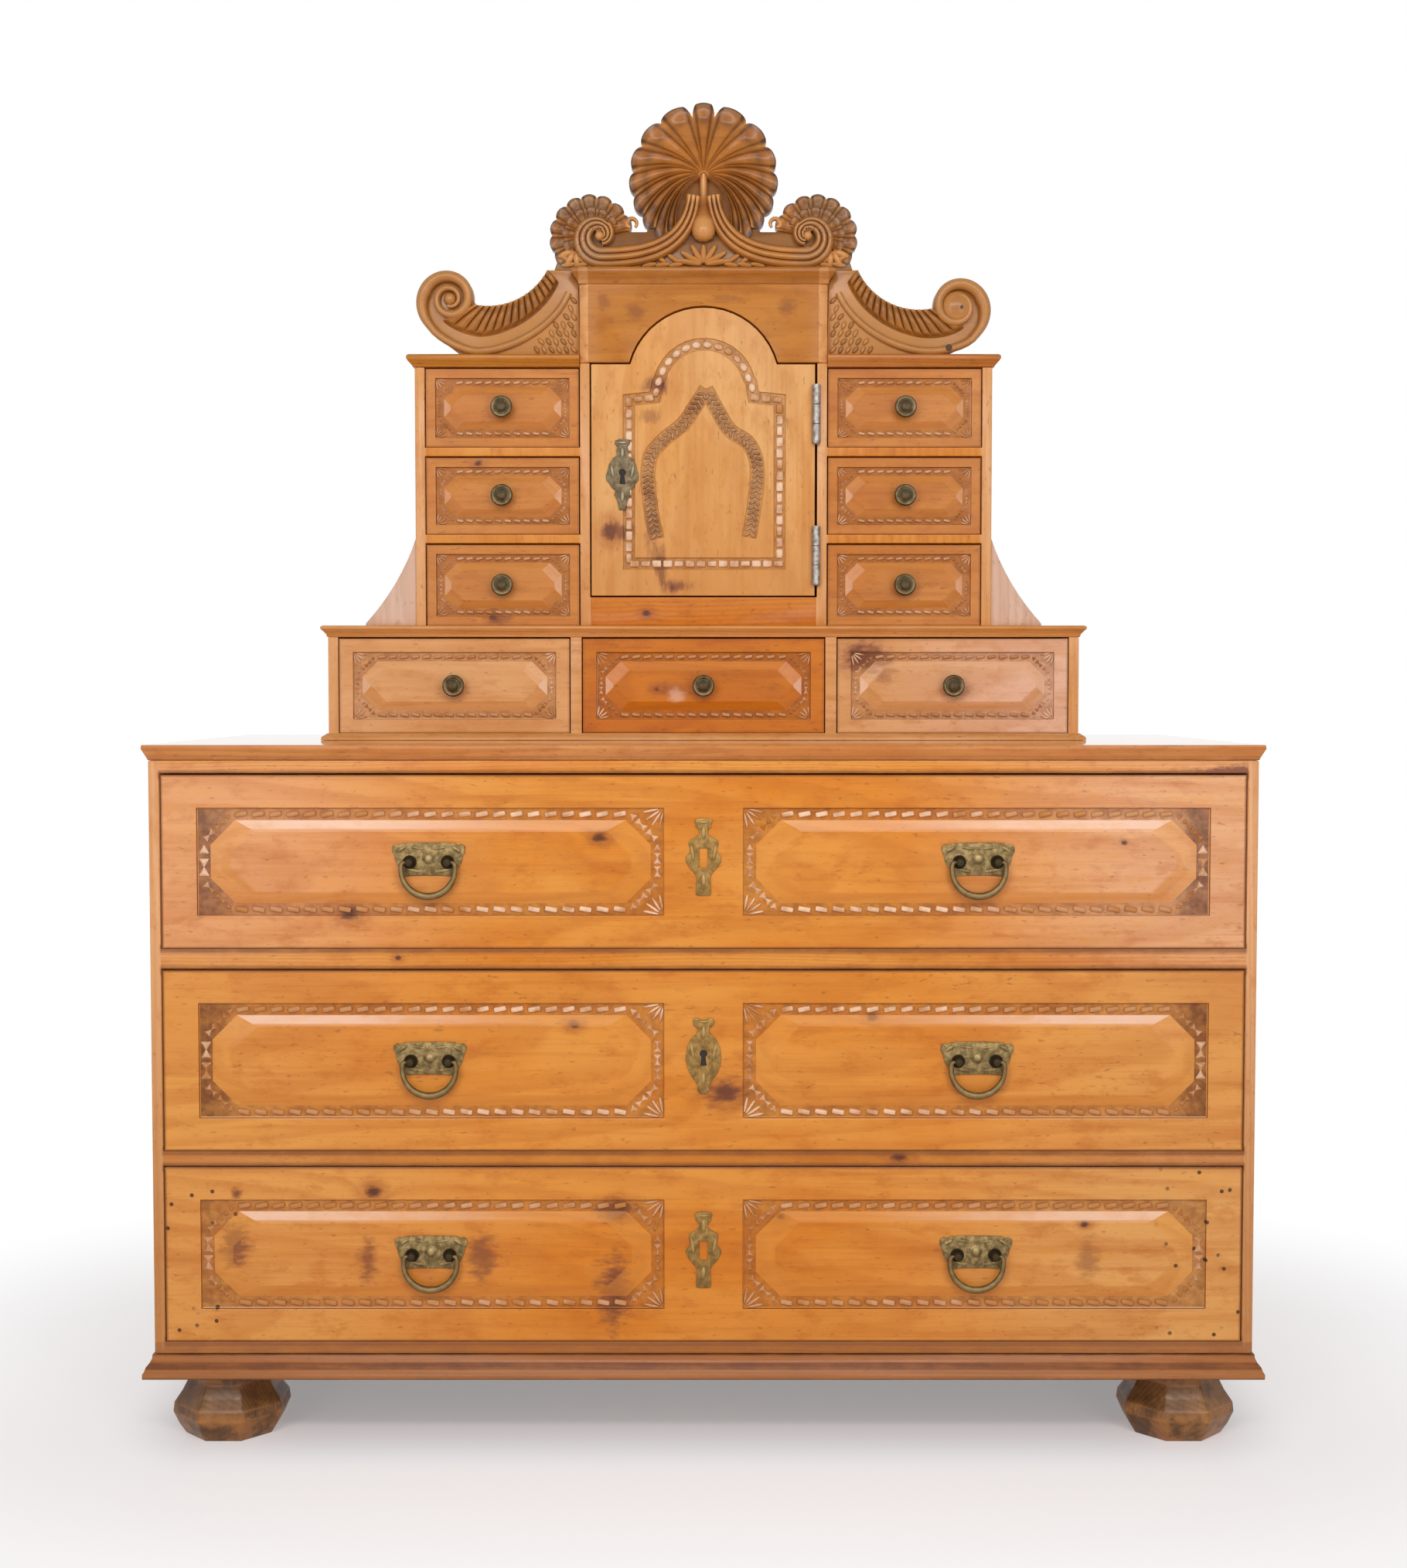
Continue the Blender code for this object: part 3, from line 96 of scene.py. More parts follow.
def soften(item, width, segments=2, clamp=True):
    return modify(item, 'BEVEL', width=width, segments=segments, limit_method='ANGLE',
                  angle_limit=radians(30), use_clamp_overlap=clamp)


def smooth(item, angle=35):
    takeUp(item)
    bpy.ops.object.shade_smooth_by_angle(angle=radians(angle))
    return item


def join(name, items):
    takeUp(*items)
    bpy.ops.object.join()
    items[0].name = name
    return items[0]


def outward(item):
    editAll(item)
    bpy.ops.mesh.remove_doubles(threshold=0.00001)
    bpy.ops.mesh.normals_make_consistent(inside=False)
    leaveEdit()
    return item


def discard(*items):
    for item in items:
        bpy.data.objects.remove(item, do_unlink=True)


def cutAway(item, tool):
    modify(item, 'BOOLEAN', operation='DIFFERENCE', solver='EXACT', object=tool)
    discard(tool)


def linked(name, data):
    item = bpy.data.objects.new(name, data)
    bpy.context.collection.objects.link(item)
    return item


def twin(source):  # a copy with its own mesh
    item = source.copy()
    item.data = source.data.copy()
    bpy.context.collection.objects.link(item)
    return item


def newest(name):  # the primitive just added
    item = bpy.context.object
    item.name = name
    return item


def cadCopy(node, name, edge, segments=2, clamp=True, merge=True):  # a softened copy of a CAD node
    piece = twin(nodes[node])
    piece.name = name
    for key in list(piece.keys()):
        del piece[key]
    piece.parent = None
    takeUp(piece)
    bpy.ops.mesh.customdata_custom_splitnormals_clear()
    editAll(piece)
    bpy.ops.mesh.remove_doubles(threshold=0.00002)
    if merge:
        bpy.ops.mesh.dissolve_limited(angle_limit=radians(1))
    leaveEdit()
    if edge:
        soften(piece, edge, segments, clamp)
    return smooth(piece)


def stamp(source, places):  # copies of one modelled shape
    copies = [twin(source) for place in places]
    for item, place in zip(copies, places):
        item.data.transform(place)
        if place.determinant() < 0:
            item.data.flip_normals()
    return copies


def dress(item, *materials):
    item.data.materials.clear()
    for material in materials:
        item.data.materials.append(material)


def finishPiece(piece, node, slot, *materials):  # the piece stands for its CAD node and moves with it
    if materials:
        dress(piece, *materials)
    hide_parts(node)
    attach(piece, nodes[node]["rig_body"])


def fromPoints(name, points, edges, faces):
    mesh = bpy.data.meshes.new(name)
    mesh.from_pydata(points, edges, faces)
    return linked(name, mesh)


def sawnBoard(name, outline, front, back, edge=0.0, clamp=True):  # an outline sawn from a board
    item = fromPoints(name, [(x, front, z) for x, z in outline], [], [tuple(range(len(outline)))])
    editAll(item)
    bpy.ops.mesh.extrude_region_move(TRANSFORM_OT_translate={"value": (0, back - front, 0)})
    leaveEdit()
    outward(item)
    return soften(item, edge, clamp=clamp) if edge else item


def turned(name, profile, place, steps, axis=(0, -1, 0)):  # radii and heights spun about an axis
    points = [Vector(place) + Vector((radius, 0, 0)) + Vector(axis) * height for radius, height in profile]
    item = fromPoints(name, points, [(i, i + 1) for i in range(len(points) - 1)], [])
    editAll(item)
    bpy.ops.mesh.spin(steps=steps, angle=2 * pi, center=place, axis=axis)
    leaveEdit()
    return outward(item)


def rod(name, path, radii):  # a round bead along a path
    curve = bpy.data.curves.new(name, 'CURVE')
    curve.dimensions = '3D'
    curve.bevel_depth, curve.bevel_resolution = 1.0, 4
    curve.use_fill_caps = True
    run = curve.splines.new('POLY')
    run.points.add(len(path) - 1)
    for point, place, radius in zip(run.points, path, radii):
        point.co, point.radius = (*place, 1.0), radius
    takeUp(linked(name, curve))
    bpy.ops.object.convert(target='MESH')
    return outward(bpy.context.object)


def carvedSheet(name, columns, rows, shape, back):  # a grid shaped by a function, its rim carried to a flat back
    bpy.ops.mesh.primitive_grid_add(x_subdivisions=columns, y_subdivisions=rows, size=1)
    item = newest(name)
    grimeAndShade = item.data.attributes.new("grimeAndShade", 'FLOAT', 'POINT').data
    for vert, dirtAndShade in zip(item.data.vertices, grimeAndShade):  # the function gives place, and dirt with painted shade, for two shares
        vert.co, dirtAndShade.value = shape(*[min(1, max(0, spot + 0.5)) for spot in vert.co[:2]])
    editAll(item)
    bpy.ops.mesh.normals_make_consistent(inside=False)
    bpy.ops.mesh.region_to_loop()
    bpy.ops.mesh.extrude_region_move()
    bpy.ops.transform.resize(value=(1, 0, 1), center_override=(0, back, 0))
    bpy.ops.mesh.edge_face_add()
    leaveEdit()
    for vert, dirtAndShade in zip(item.data.vertices, item.data.attributes["grimeAndShade"].data):
        if abs(vert.co.y - back) < 0.00001:
            dirtAndShade.value = 0.0
    return outward(item)


def setGrimeAndShade(item, share):  # how dirty each point of a piece is and how much painted shade it gets, from its place
    values = item.data.attributes.new("grimeAndShade", 'FLOAT', 'POINT').data
    for value, vert in zip(values, item.data.vertices):
        value.value = share(vert.co)
    return item


def mirrored(half):  # the whole outline from its right half
    return half + [(-x, z) for x, z in reversed(half)]


def arc(centre, radius, start, end, steps):
    turns = [start + (end - start) * i / steps for i in range(steps + 1)]
    return [(centre[0] + radius * cos(turn), centre[1] + radius * sin(turn)) for turn in turns]


def bezier(p0, p1, p2, p3, steps):
    points = []
    for i in range(steps + 1):
        t = i / steps
        weights = ((1 - t) ** 3, 3 * t * (1 - t) ** 2, 3 * t ** 2 * (1 - t), t ** 3)
        points.append(tuple(sum(w * p[k] for w, p in zip(weights, (p0, p1, p2, p3))) for k in (0, 1)))
    return points


def spline(points, steps):  # a smooth line through points
    line = []
    ends = [points[0]] + list(points) + [points[-1]]
    for a, b, c, d in zip(ends, ends[1:], ends[2:], ends[3:]):
        for i in range(steps):
            t = i / steps
            line.append(tuple(
                0.5 * (2 * b[k] + (c[k] - a[k]) * t + (2 * a[k] - 5 * b[k] + 4 * c[k] - d[k]) * t ** 2
                       + (3 * b[k] - a[k] - 3 * c[k] + d[k]) * t ** 3) for k in (0, 1)))
    return line + [tuple(points[-1])]


def along(line, pitch, inset=0.0):  # places and headings at an even pitch on a line
    steps = [dist(a, b) for a, b in zip(line, line[1:])]
    length = sum(steps) - 2 * inset
    count = max(1, round(length / pitch))
    stations = []
    for i in range(count):
        target = inset + (i + 0.5) * length / count
        for a, b, step in zip(line, line[1:], steps):
            if target <= step:
                share = target / step
                heading = atan2(b[1] - a[1], b[0] - a[0])
                stations.append((a[0] + (b[0] - a[0]) * share, a[1] + (b[1] - a[1]) * share, heading))
                break
            target -= step
    return stations


def onFront(x, y, z, turn, scale):  # a place on a front, turned in its plane
    return Matrix.Translation((x, y, z)) @ Matrix.Rotation(-turn, 4, 'Y') @ Matrix.Diagonal((*scale, 1))


# Shader maths

class Wire:
    def __init__(self, book, socket):
        self.book, self.socket = book, socket

    def calc(self, operation, other=None, swap=False):
        pair = [self] if other is None else [other, self] if swap else [self, other]
        return self.book.node("ShaderNodeMath", {"operation": operation}, pair)

    __add__ = __radd__ = lambda self, other: self.calc('ADD', other)
    __mul__ = __rmul__ = lambda self, other: self.calc('MULTIPLY', other)
    __sub__ = lambda self, other: self.calc('SUBTRACT', other)
    __rsub__ = lambda self, other: self.calc('SUBTRACT', other, True)
    __truediv__ = lambda self, other: self.calc('DIVIDE', other)
    __rtruediv__ = lambda self, other: self.calc('DIVIDE', other, True)
    __pow__ = lambda self, other: self.calc('POWER', other)
    __abs__ = lambda self: self.calc('ABSOLUTE')

    def most(self, other):
        return self.calc('MAXIMUM', other)

    def least(self, other):
        return self.calc('MINIMUM', other)

    def distance(self, other):
        return (self * self + other * other) ** 0.5

    def out(self, name):
        return Wire(self.book, self.socket.node.outputs[name])

    def ramp(self, low, high, least=0.0, most=1.0):  # smooth step between two values
        ends = {"Value": self, "From Min": low, "From Max": high, "To Min": least, "To Max": most}
        return self.book.node("ShaderNodeMapRange", {"interpolation_type": 'SMOOTHSTEP'}, ends)

    def within(self, low, high, blur):
        return self.ramp(low - blur, low + blur) * self.ramp(high + blur, high - blur)


class NodeBook:
    def __init__(self, data):  # a new material or world
        data.use_nodes = True
        self.data, self.tree = data, data.node_tree

    def node(self, kind, settings=None, values=(), out=0):
        item = self.tree.nodes.new(kind)
        for key, value in (settings or {}).items():
            setattr(item, key, value)
        for key, value in values.items() if isinstance(values, dict) else enumerate(values):
            self.feed(item.inputs[key], value)
        return Wire(self, item.outputs[out])

    def feed(self, socket, value):
        if isinstance(value, Wire):
            self.tree.links.new(value.socket, socket)
        else:
            socket.default_value = value

    def seen(self):  # what the camera, gloss and glass look at
        light = self.node("ShaderNodeLightPath", out="Is Camera Ray")
        return light.most(light.out("Is Glossy Ray")).most(light.out("Is Transmission Ray"))

    def whiten(self, share, plain, white, output):
        mixed = self.node("ShaderNodeMixShader", values=[share, Wire(self, plain.outputs[0]), white])
        self.feed(self.tree.nodes[output].inputs["Surface"], mixed)


class Finish(NodeBook):
    def __init__(self, name):
        super().__init__(bpy.data.materials.new(name))
        self.shader = self.tree.nodes["Principled BSDF"]
        self.place = self.node("ShaderNodeTexCoord", out="Object")
        self.x = self.node("ShaderNodeSeparateXYZ", values=[self.place])
        self.y, self.z = self.x.out("Y"), self.x.out("Z")

    def vector(self, x, y, z):
        return self.node("ShaderNodeCombineXYZ", values=[x, y, z])

    def noise(self, place, scale, detail, rough=0.5):
        values = {"Vector": place, "Scale": scale, "Detail": detail, "Roughness": rough}
        return self.node("ShaderNodeTexNoise", {"noise_dimensions": '3D'}, values)

    def figure(self, axes, scales, detail, rough, shift=0.0):  # noise drawn out along the grain
        u, v, w = [axis * scale for axis, scale in zip(axes, scales)]
        return self.noise(self.vector(u, v, w + shift), 1.0, detail, rough)

    def geometry(self, out):
        return self.node("ShaderNodeNewGeometry", out=out)

    def normal(self, out):
        return self.node("ShaderNodeSeparateXYZ", values=[self.geometry("Normal")], out=out)

    def grimeAndShade(self):
        return self.node("ShaderNodeAttribute", {"attribute_name": "grimeAndShade"}, out="Fac")

    def mix(self, share, first, second):
        first, second = [colour if isinstance(colour, Wire) else (*colour, 1.0) for colour in (first, second)]
        settings = {"data_type": 'RGBA', "blend_type": 'MIX'}
        return self.node("ShaderNodeMix", settings, {0: share, 6: first, 7: second}, out=2)

    def lay(self, share, colour):  # a further layer of colour
        self.colour = self.mix(share, self.colour, colour)

    def put(self, shine, height=None, relief=0.0, **others):  # socket names with the spaces left out
        others.update(BaseColor=self.colour, Roughness=shine)
        if height:
            values = {"Height": height, "Distance": relief, "Strength": 1.0}
            others["Normal"] = self.node("ShaderNodeBump", values=values)
        for socket in self.shader.inputs:
            key = socket.name.replace(" ", "")
            if key in others:
                self.feed(socket, others[key])
        return self.data


# Finishes

pineTones = {  # light wood, deeper wood, late growth, dirt and painted shade
    "honey": ((0.73, 0.30, 0.046), (0.66, 0.206, 0.009), (0.46, 0.112, 0.004), (0.13, 0.034, 0.006)),
    "bank": ((0.62, 0.245, 0.052), (0.56, 0.185, 0.02), (0.39, 0.10, 0.008), (0.12, 0.032, 0.006)),
    "orange": ((0.64, 0.20, 0.01), (0.56, 0.142, 0.004), (0.38, 0.08, 0.003), (0.11, 0.028, 0.005)),
    "golden": ((0.57, 0.225, 0.036), (0.50, 0.172, 0.012), (0.34, 0.096, 0.006), (0.11, 0.03, 0.006)),
    "pale": ((0.74, 0.375, 0.15), (0.69, 0.30, 0.08), (0.52, 0.18, 0.026), (0.17, 0.055, 0.015)),
    "door": ((0.76, 0.405, 0.145), (0.72, 0.325, 0.075), (0.51, 0.175, 0.02), (0.14, 0.04, 0.01)),
    "dusty": ((0.70, 0.46, 0.34), (0.64, 0.38, 0.25), (0.48, 0.24, 0.125), (0.20, 0.09, 0.04)),
    "amber": ((0.56, 0.215, 0.052), (0.49, 0.16, 0.024), (0.33, 0.084, 0.01), (0.10, 0.028, 0.006)),
    "nosing": ((0.63, 0.262, 0.076), (0.56, 0.196, 0.036), (0.38, 0.102, 0.013), (0.10, 0.028, 0.006)),
    "umber": ((0.43, 0.15, 0.036), (0.33, 0.098, 0.016), (0.18, 0.046, 0.007), (0.05, 0.015, 0.005)),
    "bun": ((0.34, 0.16, 0.05), (0.15, 0.062, 0.02), (0.07, 0.028, 0.01), (0.028, 0.012, 0.005)),
    "raw": ((0.66, 0.42, 0.20), (0.58, 0.34, 0.14), (0.44, 0.22, 0.075), (0.24, 0.12, 0.05)),
}
pineGrain = {
    "rings": 230.0, "wander": 0.013, "tilt": 0.016, "pith": 0.055, "contrast": 0.27,
    "gloss": 0.34, "dullness": 0.14, "relief": 0.0004, "seedShift": 1.7, "coat": 0.30,
}
pineFigure = {  # scales along, across and into the board, detail, roughness, share of the seed
    "wander": ((1.2, 3.5, 3.5), 2.0, 0.5, 1), "ripple": ((7.0, 30.0, 30.0), 2.0, 0.5, 1),
    "smear": ((55.0, 130.0, 40.0), 3.0, 0.65, 1), "fibre": ((11.0, 360.0, 360.0), 3.0, 0.6, 0),
    "streak": ((2.2, 62.0, 62.0), 5.0, 0.65, 1), "cloud": ((3.0, 7.0, 7.0), 4.0, 0.6, 2),
    "fleck": ((84.0, 230.0, 230.0), 2.0, 0.5, 1), "mottle": ((26.0, 52.0, 52.0), 4.0, 0.65, 1),
}
grainAxes = {  # along the grain, across the face, into the board
    "x": "xzy", "z": "zxy", "y": "yzx", "top": "xyz",
}
knotHalo, knotCore = (0.33, 0.08, 0.014), (0.07, 0.015, 0.005)
stainAndShadowColour, wormHole = (0.19, 0.05, 0.018), (0.035, 0.012, 0.005)
# tints for a painted sheen on the ends of fronts; blush also tints pale patches
sheenAndPatchTints = {"rosy": (0.76, 0.41, 0.215), "golden": (0.72, 0.36, 0.105), "blush": (0.80, 0.47, 0.32)}
# the second colour is the painted glare on bevels
wornEdge, bevelGlare = (0.62, 0.255, 0.07), (0.82, 0.52, 0.36)
# the first colour is the painted shadow of the gaps along the rails
railGapShadow, goldenWear = (0.23, 0.068, 0.012), (0.42, 0.172, 0.044)


def pine(name, tone="honey", grain="x", seed=0.0, middle=0.0, face=0.0, plank=0.0, upright=None, zones=(), knots=(),
         stainsAndShadows=(), endSheen=None, fall=None, patchy=0.0, worn=0.0, polished=False, gapShadowLines=(), bands=(), holes=0.0,
         carvedFrom=None, glare=(0.0, 0.0), endGrime=0.42, edges=None, edging=0.0):
    f = Finish(name)
    wide = abs(f.x)
    tones = pineTones[tone]
    for zone, low, high in zones:  # parts between two half widths have a tone of their own
        inside = wide.within(low, high, 0.0003)
        tones = [f.mix(inside, first, second) for first, second in zip(tones, pineTones[zone])]
    light, deep, late, grimeAndShade = tones
    u, v, w = [getattr(f, axis) for axis in grainAxes[grain]]
    if upright:  # the parts past this half width run upright, as a case's sides do
        isSide = wide.ramp(upright - 0.0002, upright + 0.0002)
        u, v, w = u + (f.z - f.x) * isSide, v + (f.y - f.z) * isSide, w + (f.x - f.y) * isSide
    board, offset = 0.0, v - middle
    if plank:  # a wide board is glued up from planks, each cut from its own place
        index = (v / plank + 0.37).calc('FLOOR')
        board = f.node("ShaderNodeTexWhiteNoise", {"noise_dimensions": '1D'}, {"W": index + seed})
        offset = v - (index + 0.13) * plank + (board - 0.5) * 0.09
    shift = seed * pineGrain["seedShift"]
    u = u + shift + board * 3.1
    wander, ripple, smear, fibre, streak, cloud, fleck, mottle = [
        f.figure((u, v, w), scales, detail, rough, seed * share)
        for scales, detail, rough, share in pineFigure.values()]
    wander, ripple, smear = wander - 0.5, ripple - 0.5, smear - 0.5
    across = offset + wander * pineGrain["wander"] * 2.4 + ripple * 0.004
    into = w - face - pineGrain["pith"] + u * pineGrain["tilt"] + wander * pineGrain["wander"]
    radius = across.distance(into)
    cores, halos = [], []
    for ku, kv, size in knots:  # the rings part round a knot
        near = ((u - (ku + shift)) * 0.72).distance(v - kv) / size + smear * 1.5
        radius = radius + (1.2 * size) / (near * near + 1.0)
        cores.append(near.ramp(1.05, 0.25).most(cores[-1]) if cores else near.ramp(1.05, 0.25))
        halos.append(near.ramp(2.6, 0.5).most(halos[-1]) if halos else near.ramp(2.6, 0.5))
    growth = (radius * pineGrain["rings"] + ripple * 0.6).calc('FRACT')
    lateWood = growth.ramp(0.25, 0.80) * growth.ramp(1.0, 0.84)
    f.colour = f.mix(cloud.ramp(0.30, 0.70), light, deep)
    if endSheen:  # painted sheen: the ends of wide fronts are paler, more so on the right
        share, start, end, sheenTint = endSheen
        sheenReach = wide.ramp(start, end) * f.x.ramp(-0.62, 0.3, 0.60, 1.0)
        f.lay(sheenReach * cloud.ramp(0.15, 0.60, 0.55, 1.0) * share, sheenTint)
    f.lay(mottle.ramp(0.48, 0.72) * 0.44, late)
    f.lay(mottle.ramp(0.46, 0.28) * 0.42, light)
    f.lay(streak.ramp(0.46, 0.76) * 0.50, late)
    f.lay(streak.ramp(0.46, 0.24) * 0.30, light)
    f.lay(lateWood * pineGrain["contrast"], late)
    f.lay(fibre.ramp(0.52, 0.80) * 0.26, late)
    f.lay(fibre.ramp(0.46, 0.20) * 0.20, light)
    f.lay(fleck.ramp(0.63, 0.76) * 0.38, grimeAndShade)
    if plank:
        f.lay(board * 0.30, deep)
    if fall:  # darker towards the floor
        top, foot, tint, share = fall
        f.lay(f.z.ramp(top, foot) * share, tint)
    if patchy:  # rubbed to a golden ground above and below a foot's belly
        spread = f.noise(f.place, 34.0, 4.0, 0.65)
        bare = f.z.ramp(0.058, 0.078) + f.z.ramp(0.046, 0.030)
        f.lay(spread.ramp(0.40, 0.62) * bare * patchy, goldenWear)
        f.lay(spread.ramp(0.52, 0.34) * 0.42, grimeAndShade)
    if knots:
        f.lay(halos[-1] * 0.50, knotHalo)
        f.lay(cores[-1] * 0.92, knotCore)
    for su, sv, reachU, reachV, share in stainsAndShadows:  # rubbed-in dirt about old knots and, on the case, the painted shadow of a gap; below zero a bleached patch
        blot = (((u - (su + shift)) / reachU).distance((v - sv) / reachV) + smear * 1.8).ramp(1.1, 0.2)
        f.lay(blot * abs(share), stainAndShadowColour if share > 0 else sheenAndPatchTints["blush"])
    dust = f.noise(f.place, 75.0, 3.0, 0.65)
    height = lateWood * 0.30 + fibre * 0.5 + dust * 0.4
    shine = pineGrain["gloss"] + streak * pineGrain["dullness"] + dust * 0.10
    if carvedFrom is not None:  # dirt and painted shade darken a sunk floor, painted shade darkens its walls, and the bevels get painted highlights and, where they face down, painted shade
        sunk = f.y - carvedFrom
        shallow = sunk.ramp(0.0090, 0.0060)
        sideways = f.normal("X")
        facing, upward, sideways = abs(sideways.out("Y")), sideways.out("Z"), abs(sideways)
        flat = facing.ramp(0.990, 0.998)
        floor = sunk.ramp(0.0014, 0.0022) * shallow * flat
        wall = facing.ramp(0.80, 0.35) * sunk.ramp(0.0003, 0.0010) * shallow
        bevel = facing.ramp(0.85, 0.92) * (1 - flat) * sunk.ramp(0.0002, 0.0006) * shallow
        f.lay(floor * (dust.ramp(0.30, 0.70) * 0.34 + wide.ramp(0.56, 0.60) * endGrime + 0.16), grimeAndShade)
        f.lay(wall * 0.70, grimeAndShade)
        # painted highlight on every bevel
        f.lay(bevel * 0.35, light)
        above, beside = glare
        reach = wide.ramp(0.18, 0.46, 0.08, 1.0) * sunk.ramp(0.0006, 0.0014)
        lit = upward.ramp(0.03, 0.10) * sideways.ramp(0.06, 0.02) * reach * above
        lit = lit + sideways.ramp(0.03, 0.10) * abs(upward).ramp(0.06, 0.02) * beside
        # painted glare on the bevels that face the lamps
        f.lay(bevel * lit * mottle.ramp(0.30, 0.60, 0.60, 1.0), bevelGlare)
        # painted shade on the bevels that face down
        f.lay(bevel * upward.ramp(-0.03, -0.10) * 0.25, late)
        shine = shine + floor * 0.14 - bevel * 0.10
    if edges:  # painted shadow of the gap along the outer edges of a front
        x0, z0, x1, z1 = edges
        inner = (f.x - x0).least(x1 - f.x).least((f.z - z0).least(z1 - f.z))
        f.lay(inner.ramp(0.0034, 0.0008) * edging, grimeAndShade)
    for seam in gapShadowLines:  # painted shadow of the gaps along the rails beside the drawers, on the front only
        onRail = abs(f.z - seam).ramp(0.0085, 0.0025) * f.y.ramp(face + 0.004, face + 0.002)
        f.lay(onRail * wide.ramp(0.661, 0.657) * mottle.ramp(0.25, 0.60, 0.62, 0.90), railGapShadow)
    for low, high, tint, share in bands:  # a moulding's members told apart by height, and painted shadow lines
        f.lay(f.z.within(low, high, 0.0006) * mottle.ramp(0.30, 0.62, 0.60, 1.0) * share, tint)
    if holes:  # worm holes and pin marks towards both ends
        cells = {"Vector": f.vector(f.x, f.z, 0.0), "Scale": holes}
        spot = f.node("ShaderNodeTexVoronoi", {"voronoi_dimensions": '2D'}, cells, out="Distance")
        few = wide.ramp(0.54, 0.58) * f.noise(f.place, 14.0, 1.0).ramp(0.44, 0.48)
        mark = spot.ramp(0.085, 0.050) * few
        f.lay(mark * 0.90, wormHole)
        height = height - mark * 3.0
    if worn:  # edges rubbed to the wood
        f.lay(f.geometry("Pointiness").ramp(0.502, 0.535) * worn * mottle.ramp(0.35, 0.60), wornEdge)
    coat, coatRoughness = pineGrain["coat"], 0.20
    if polished:  # a waxed level top mirrors the light at a low angle
        coat, coatRoughness = f.normal("Z").ramp(0.90, 0.98, coat, 1.0), 0.05
    return f.put(shine, height, pineGrain["relief"], CoatWeight=coat, CoatRoughness=coatRoughness,
                 SpecularIORLevel=0.18)


carvedTones = {
    "light": (0.49, 0.172, 0.02), "body": (0.32, 0.102, 0.009), "dark": (0.12, 0.034, 0.005),
    "grimeAndShade": (0.024, 0.008, 0.003), "rubbed": (0.70, 0.325, 0.095), "grey": (0.31, 0.17, 0.08),
}


def carvedPine(name, seed, greyFrom=None, depth=1.0):  # darker in the hollows with dirt and painted shade, paler on the ridges with wear and a painted highlight
    f = Finish(name)
    wood, heart, rubbed = [tuple(c * depth for c in carvedTones[key]) for key in ("light", "body", "rubbed")]
    axes = (f.x, f.z, f.y)
    fibre = f.figure(axes, (14.0, 260.0, 260.0), 3.0, 0.6)
    streak = f.figure(axes, (5.0, 40.0, 40.0), 4.0, 0.6, seed)
    cloud = f.noise(f.place, 22.0, 4.0, 0.6)
    f.colour = f.mix(cloud.ramp(0.32, 0.68), heart, wood)
    if greyFrom:  # dust greys what lies past this half width
        dusty = abs(f.x).ramp(greyFrom - 0.02, greyFrom + 0.02) * cloud.ramp(0.30, 0.60)
        f.lay(dusty * 0.75, carvedTones["grey"])
    f.lay(streak.ramp(0.45, 0.80) * 0.55, carvedTones["dark"])
    f.lay(fibre.ramp(0.50, 0.80) * 0.30, carvedTones["dark"])
    grimyAndShaded, point = f.grimeAndShade(), f.geometry("Pointiness")
    hollow = point.ramp(0.498, 0.448).most(grimyAndShaded)
    clean = 1 - grimyAndShaded.most(0.0)
    ridge = (point.ramp(0.511, 0.556) * clean).most(0 - grimyAndShaded)  # below zero marks a paler place: rubbed bare, and on ridges a painted highlight
    # dirt and painted shade in the hollows; wear and a painted highlight on the ridges
    f.lay(hollow * 0.90, carvedTones["grimeAndShade"])
    f.lay(ridge * 0.74, rubbed)
    shine = 0.36 + streak * 0.14 + hollow * 0.2 - ridge * 0.08
    return f.put(shine, fibre * 0.6 + streak * 0.4, 0.0005, CoatWeight=0.30, CoatRoughness=0.18,
                 SpecularIORLevel=0.20)


chipTones = {  # dull, and rubbed pale with a painted highlight
    "pale": ((0.48, 0.18, 0.034), (0.86, 0.58, 0.38)),
    "drab": ((0.24, 0.105, 0.042), (0.50, 0.27, 0.125)),
}
chipFibre, chipHollowDirtAndShade = (0.34, 0.11, 0.02), (0.10, 0.03, 0.008)


def chipWood(name, seed, spread, middle=0.0, ends=1.0, levels=(1.0, 0.75), tone="pale"):
    f = Finish(name)
    rows, tips = levels  # worn pale, with a painted highlight, near the middle and at the ends
    axes = (f.x, f.y, f.z)
    cloud = f.figure(axes, (28.0, 60.0, 28.0), 3.0, 0.6, seed)
    fibre = f.figure(axes, (60.0, 300.0, 420.0), 3.0, 0.6)
    inward = abs(f.x).ramp(spread + 0.10, spread - 0.02, 0.22 * rows, rows)
    atEnds = abs(f.x - middle).ramp(ends - 0.006, ends + 0.002) * tips
    f.colour = f.mix(cloud.ramp(0.30, 0.62) * inward.most(atEnds), *chipTones[tone])
    f.lay(fibre.ramp(0.50, 0.80) * 0.30, chipFibre)
    # dirt and painted shade in the chips' hollows
    f.lay(f.geometry("Pointiness").ramp(0.490, 0.430) * 0.6, chipHollowDirtAndShade)
    return f.put(0.34 + cloud * 0.16, fibre, 0.0002, CoatWeight=0.12, CoatRoughness=0.18, SpecularIORLevel=0.25)


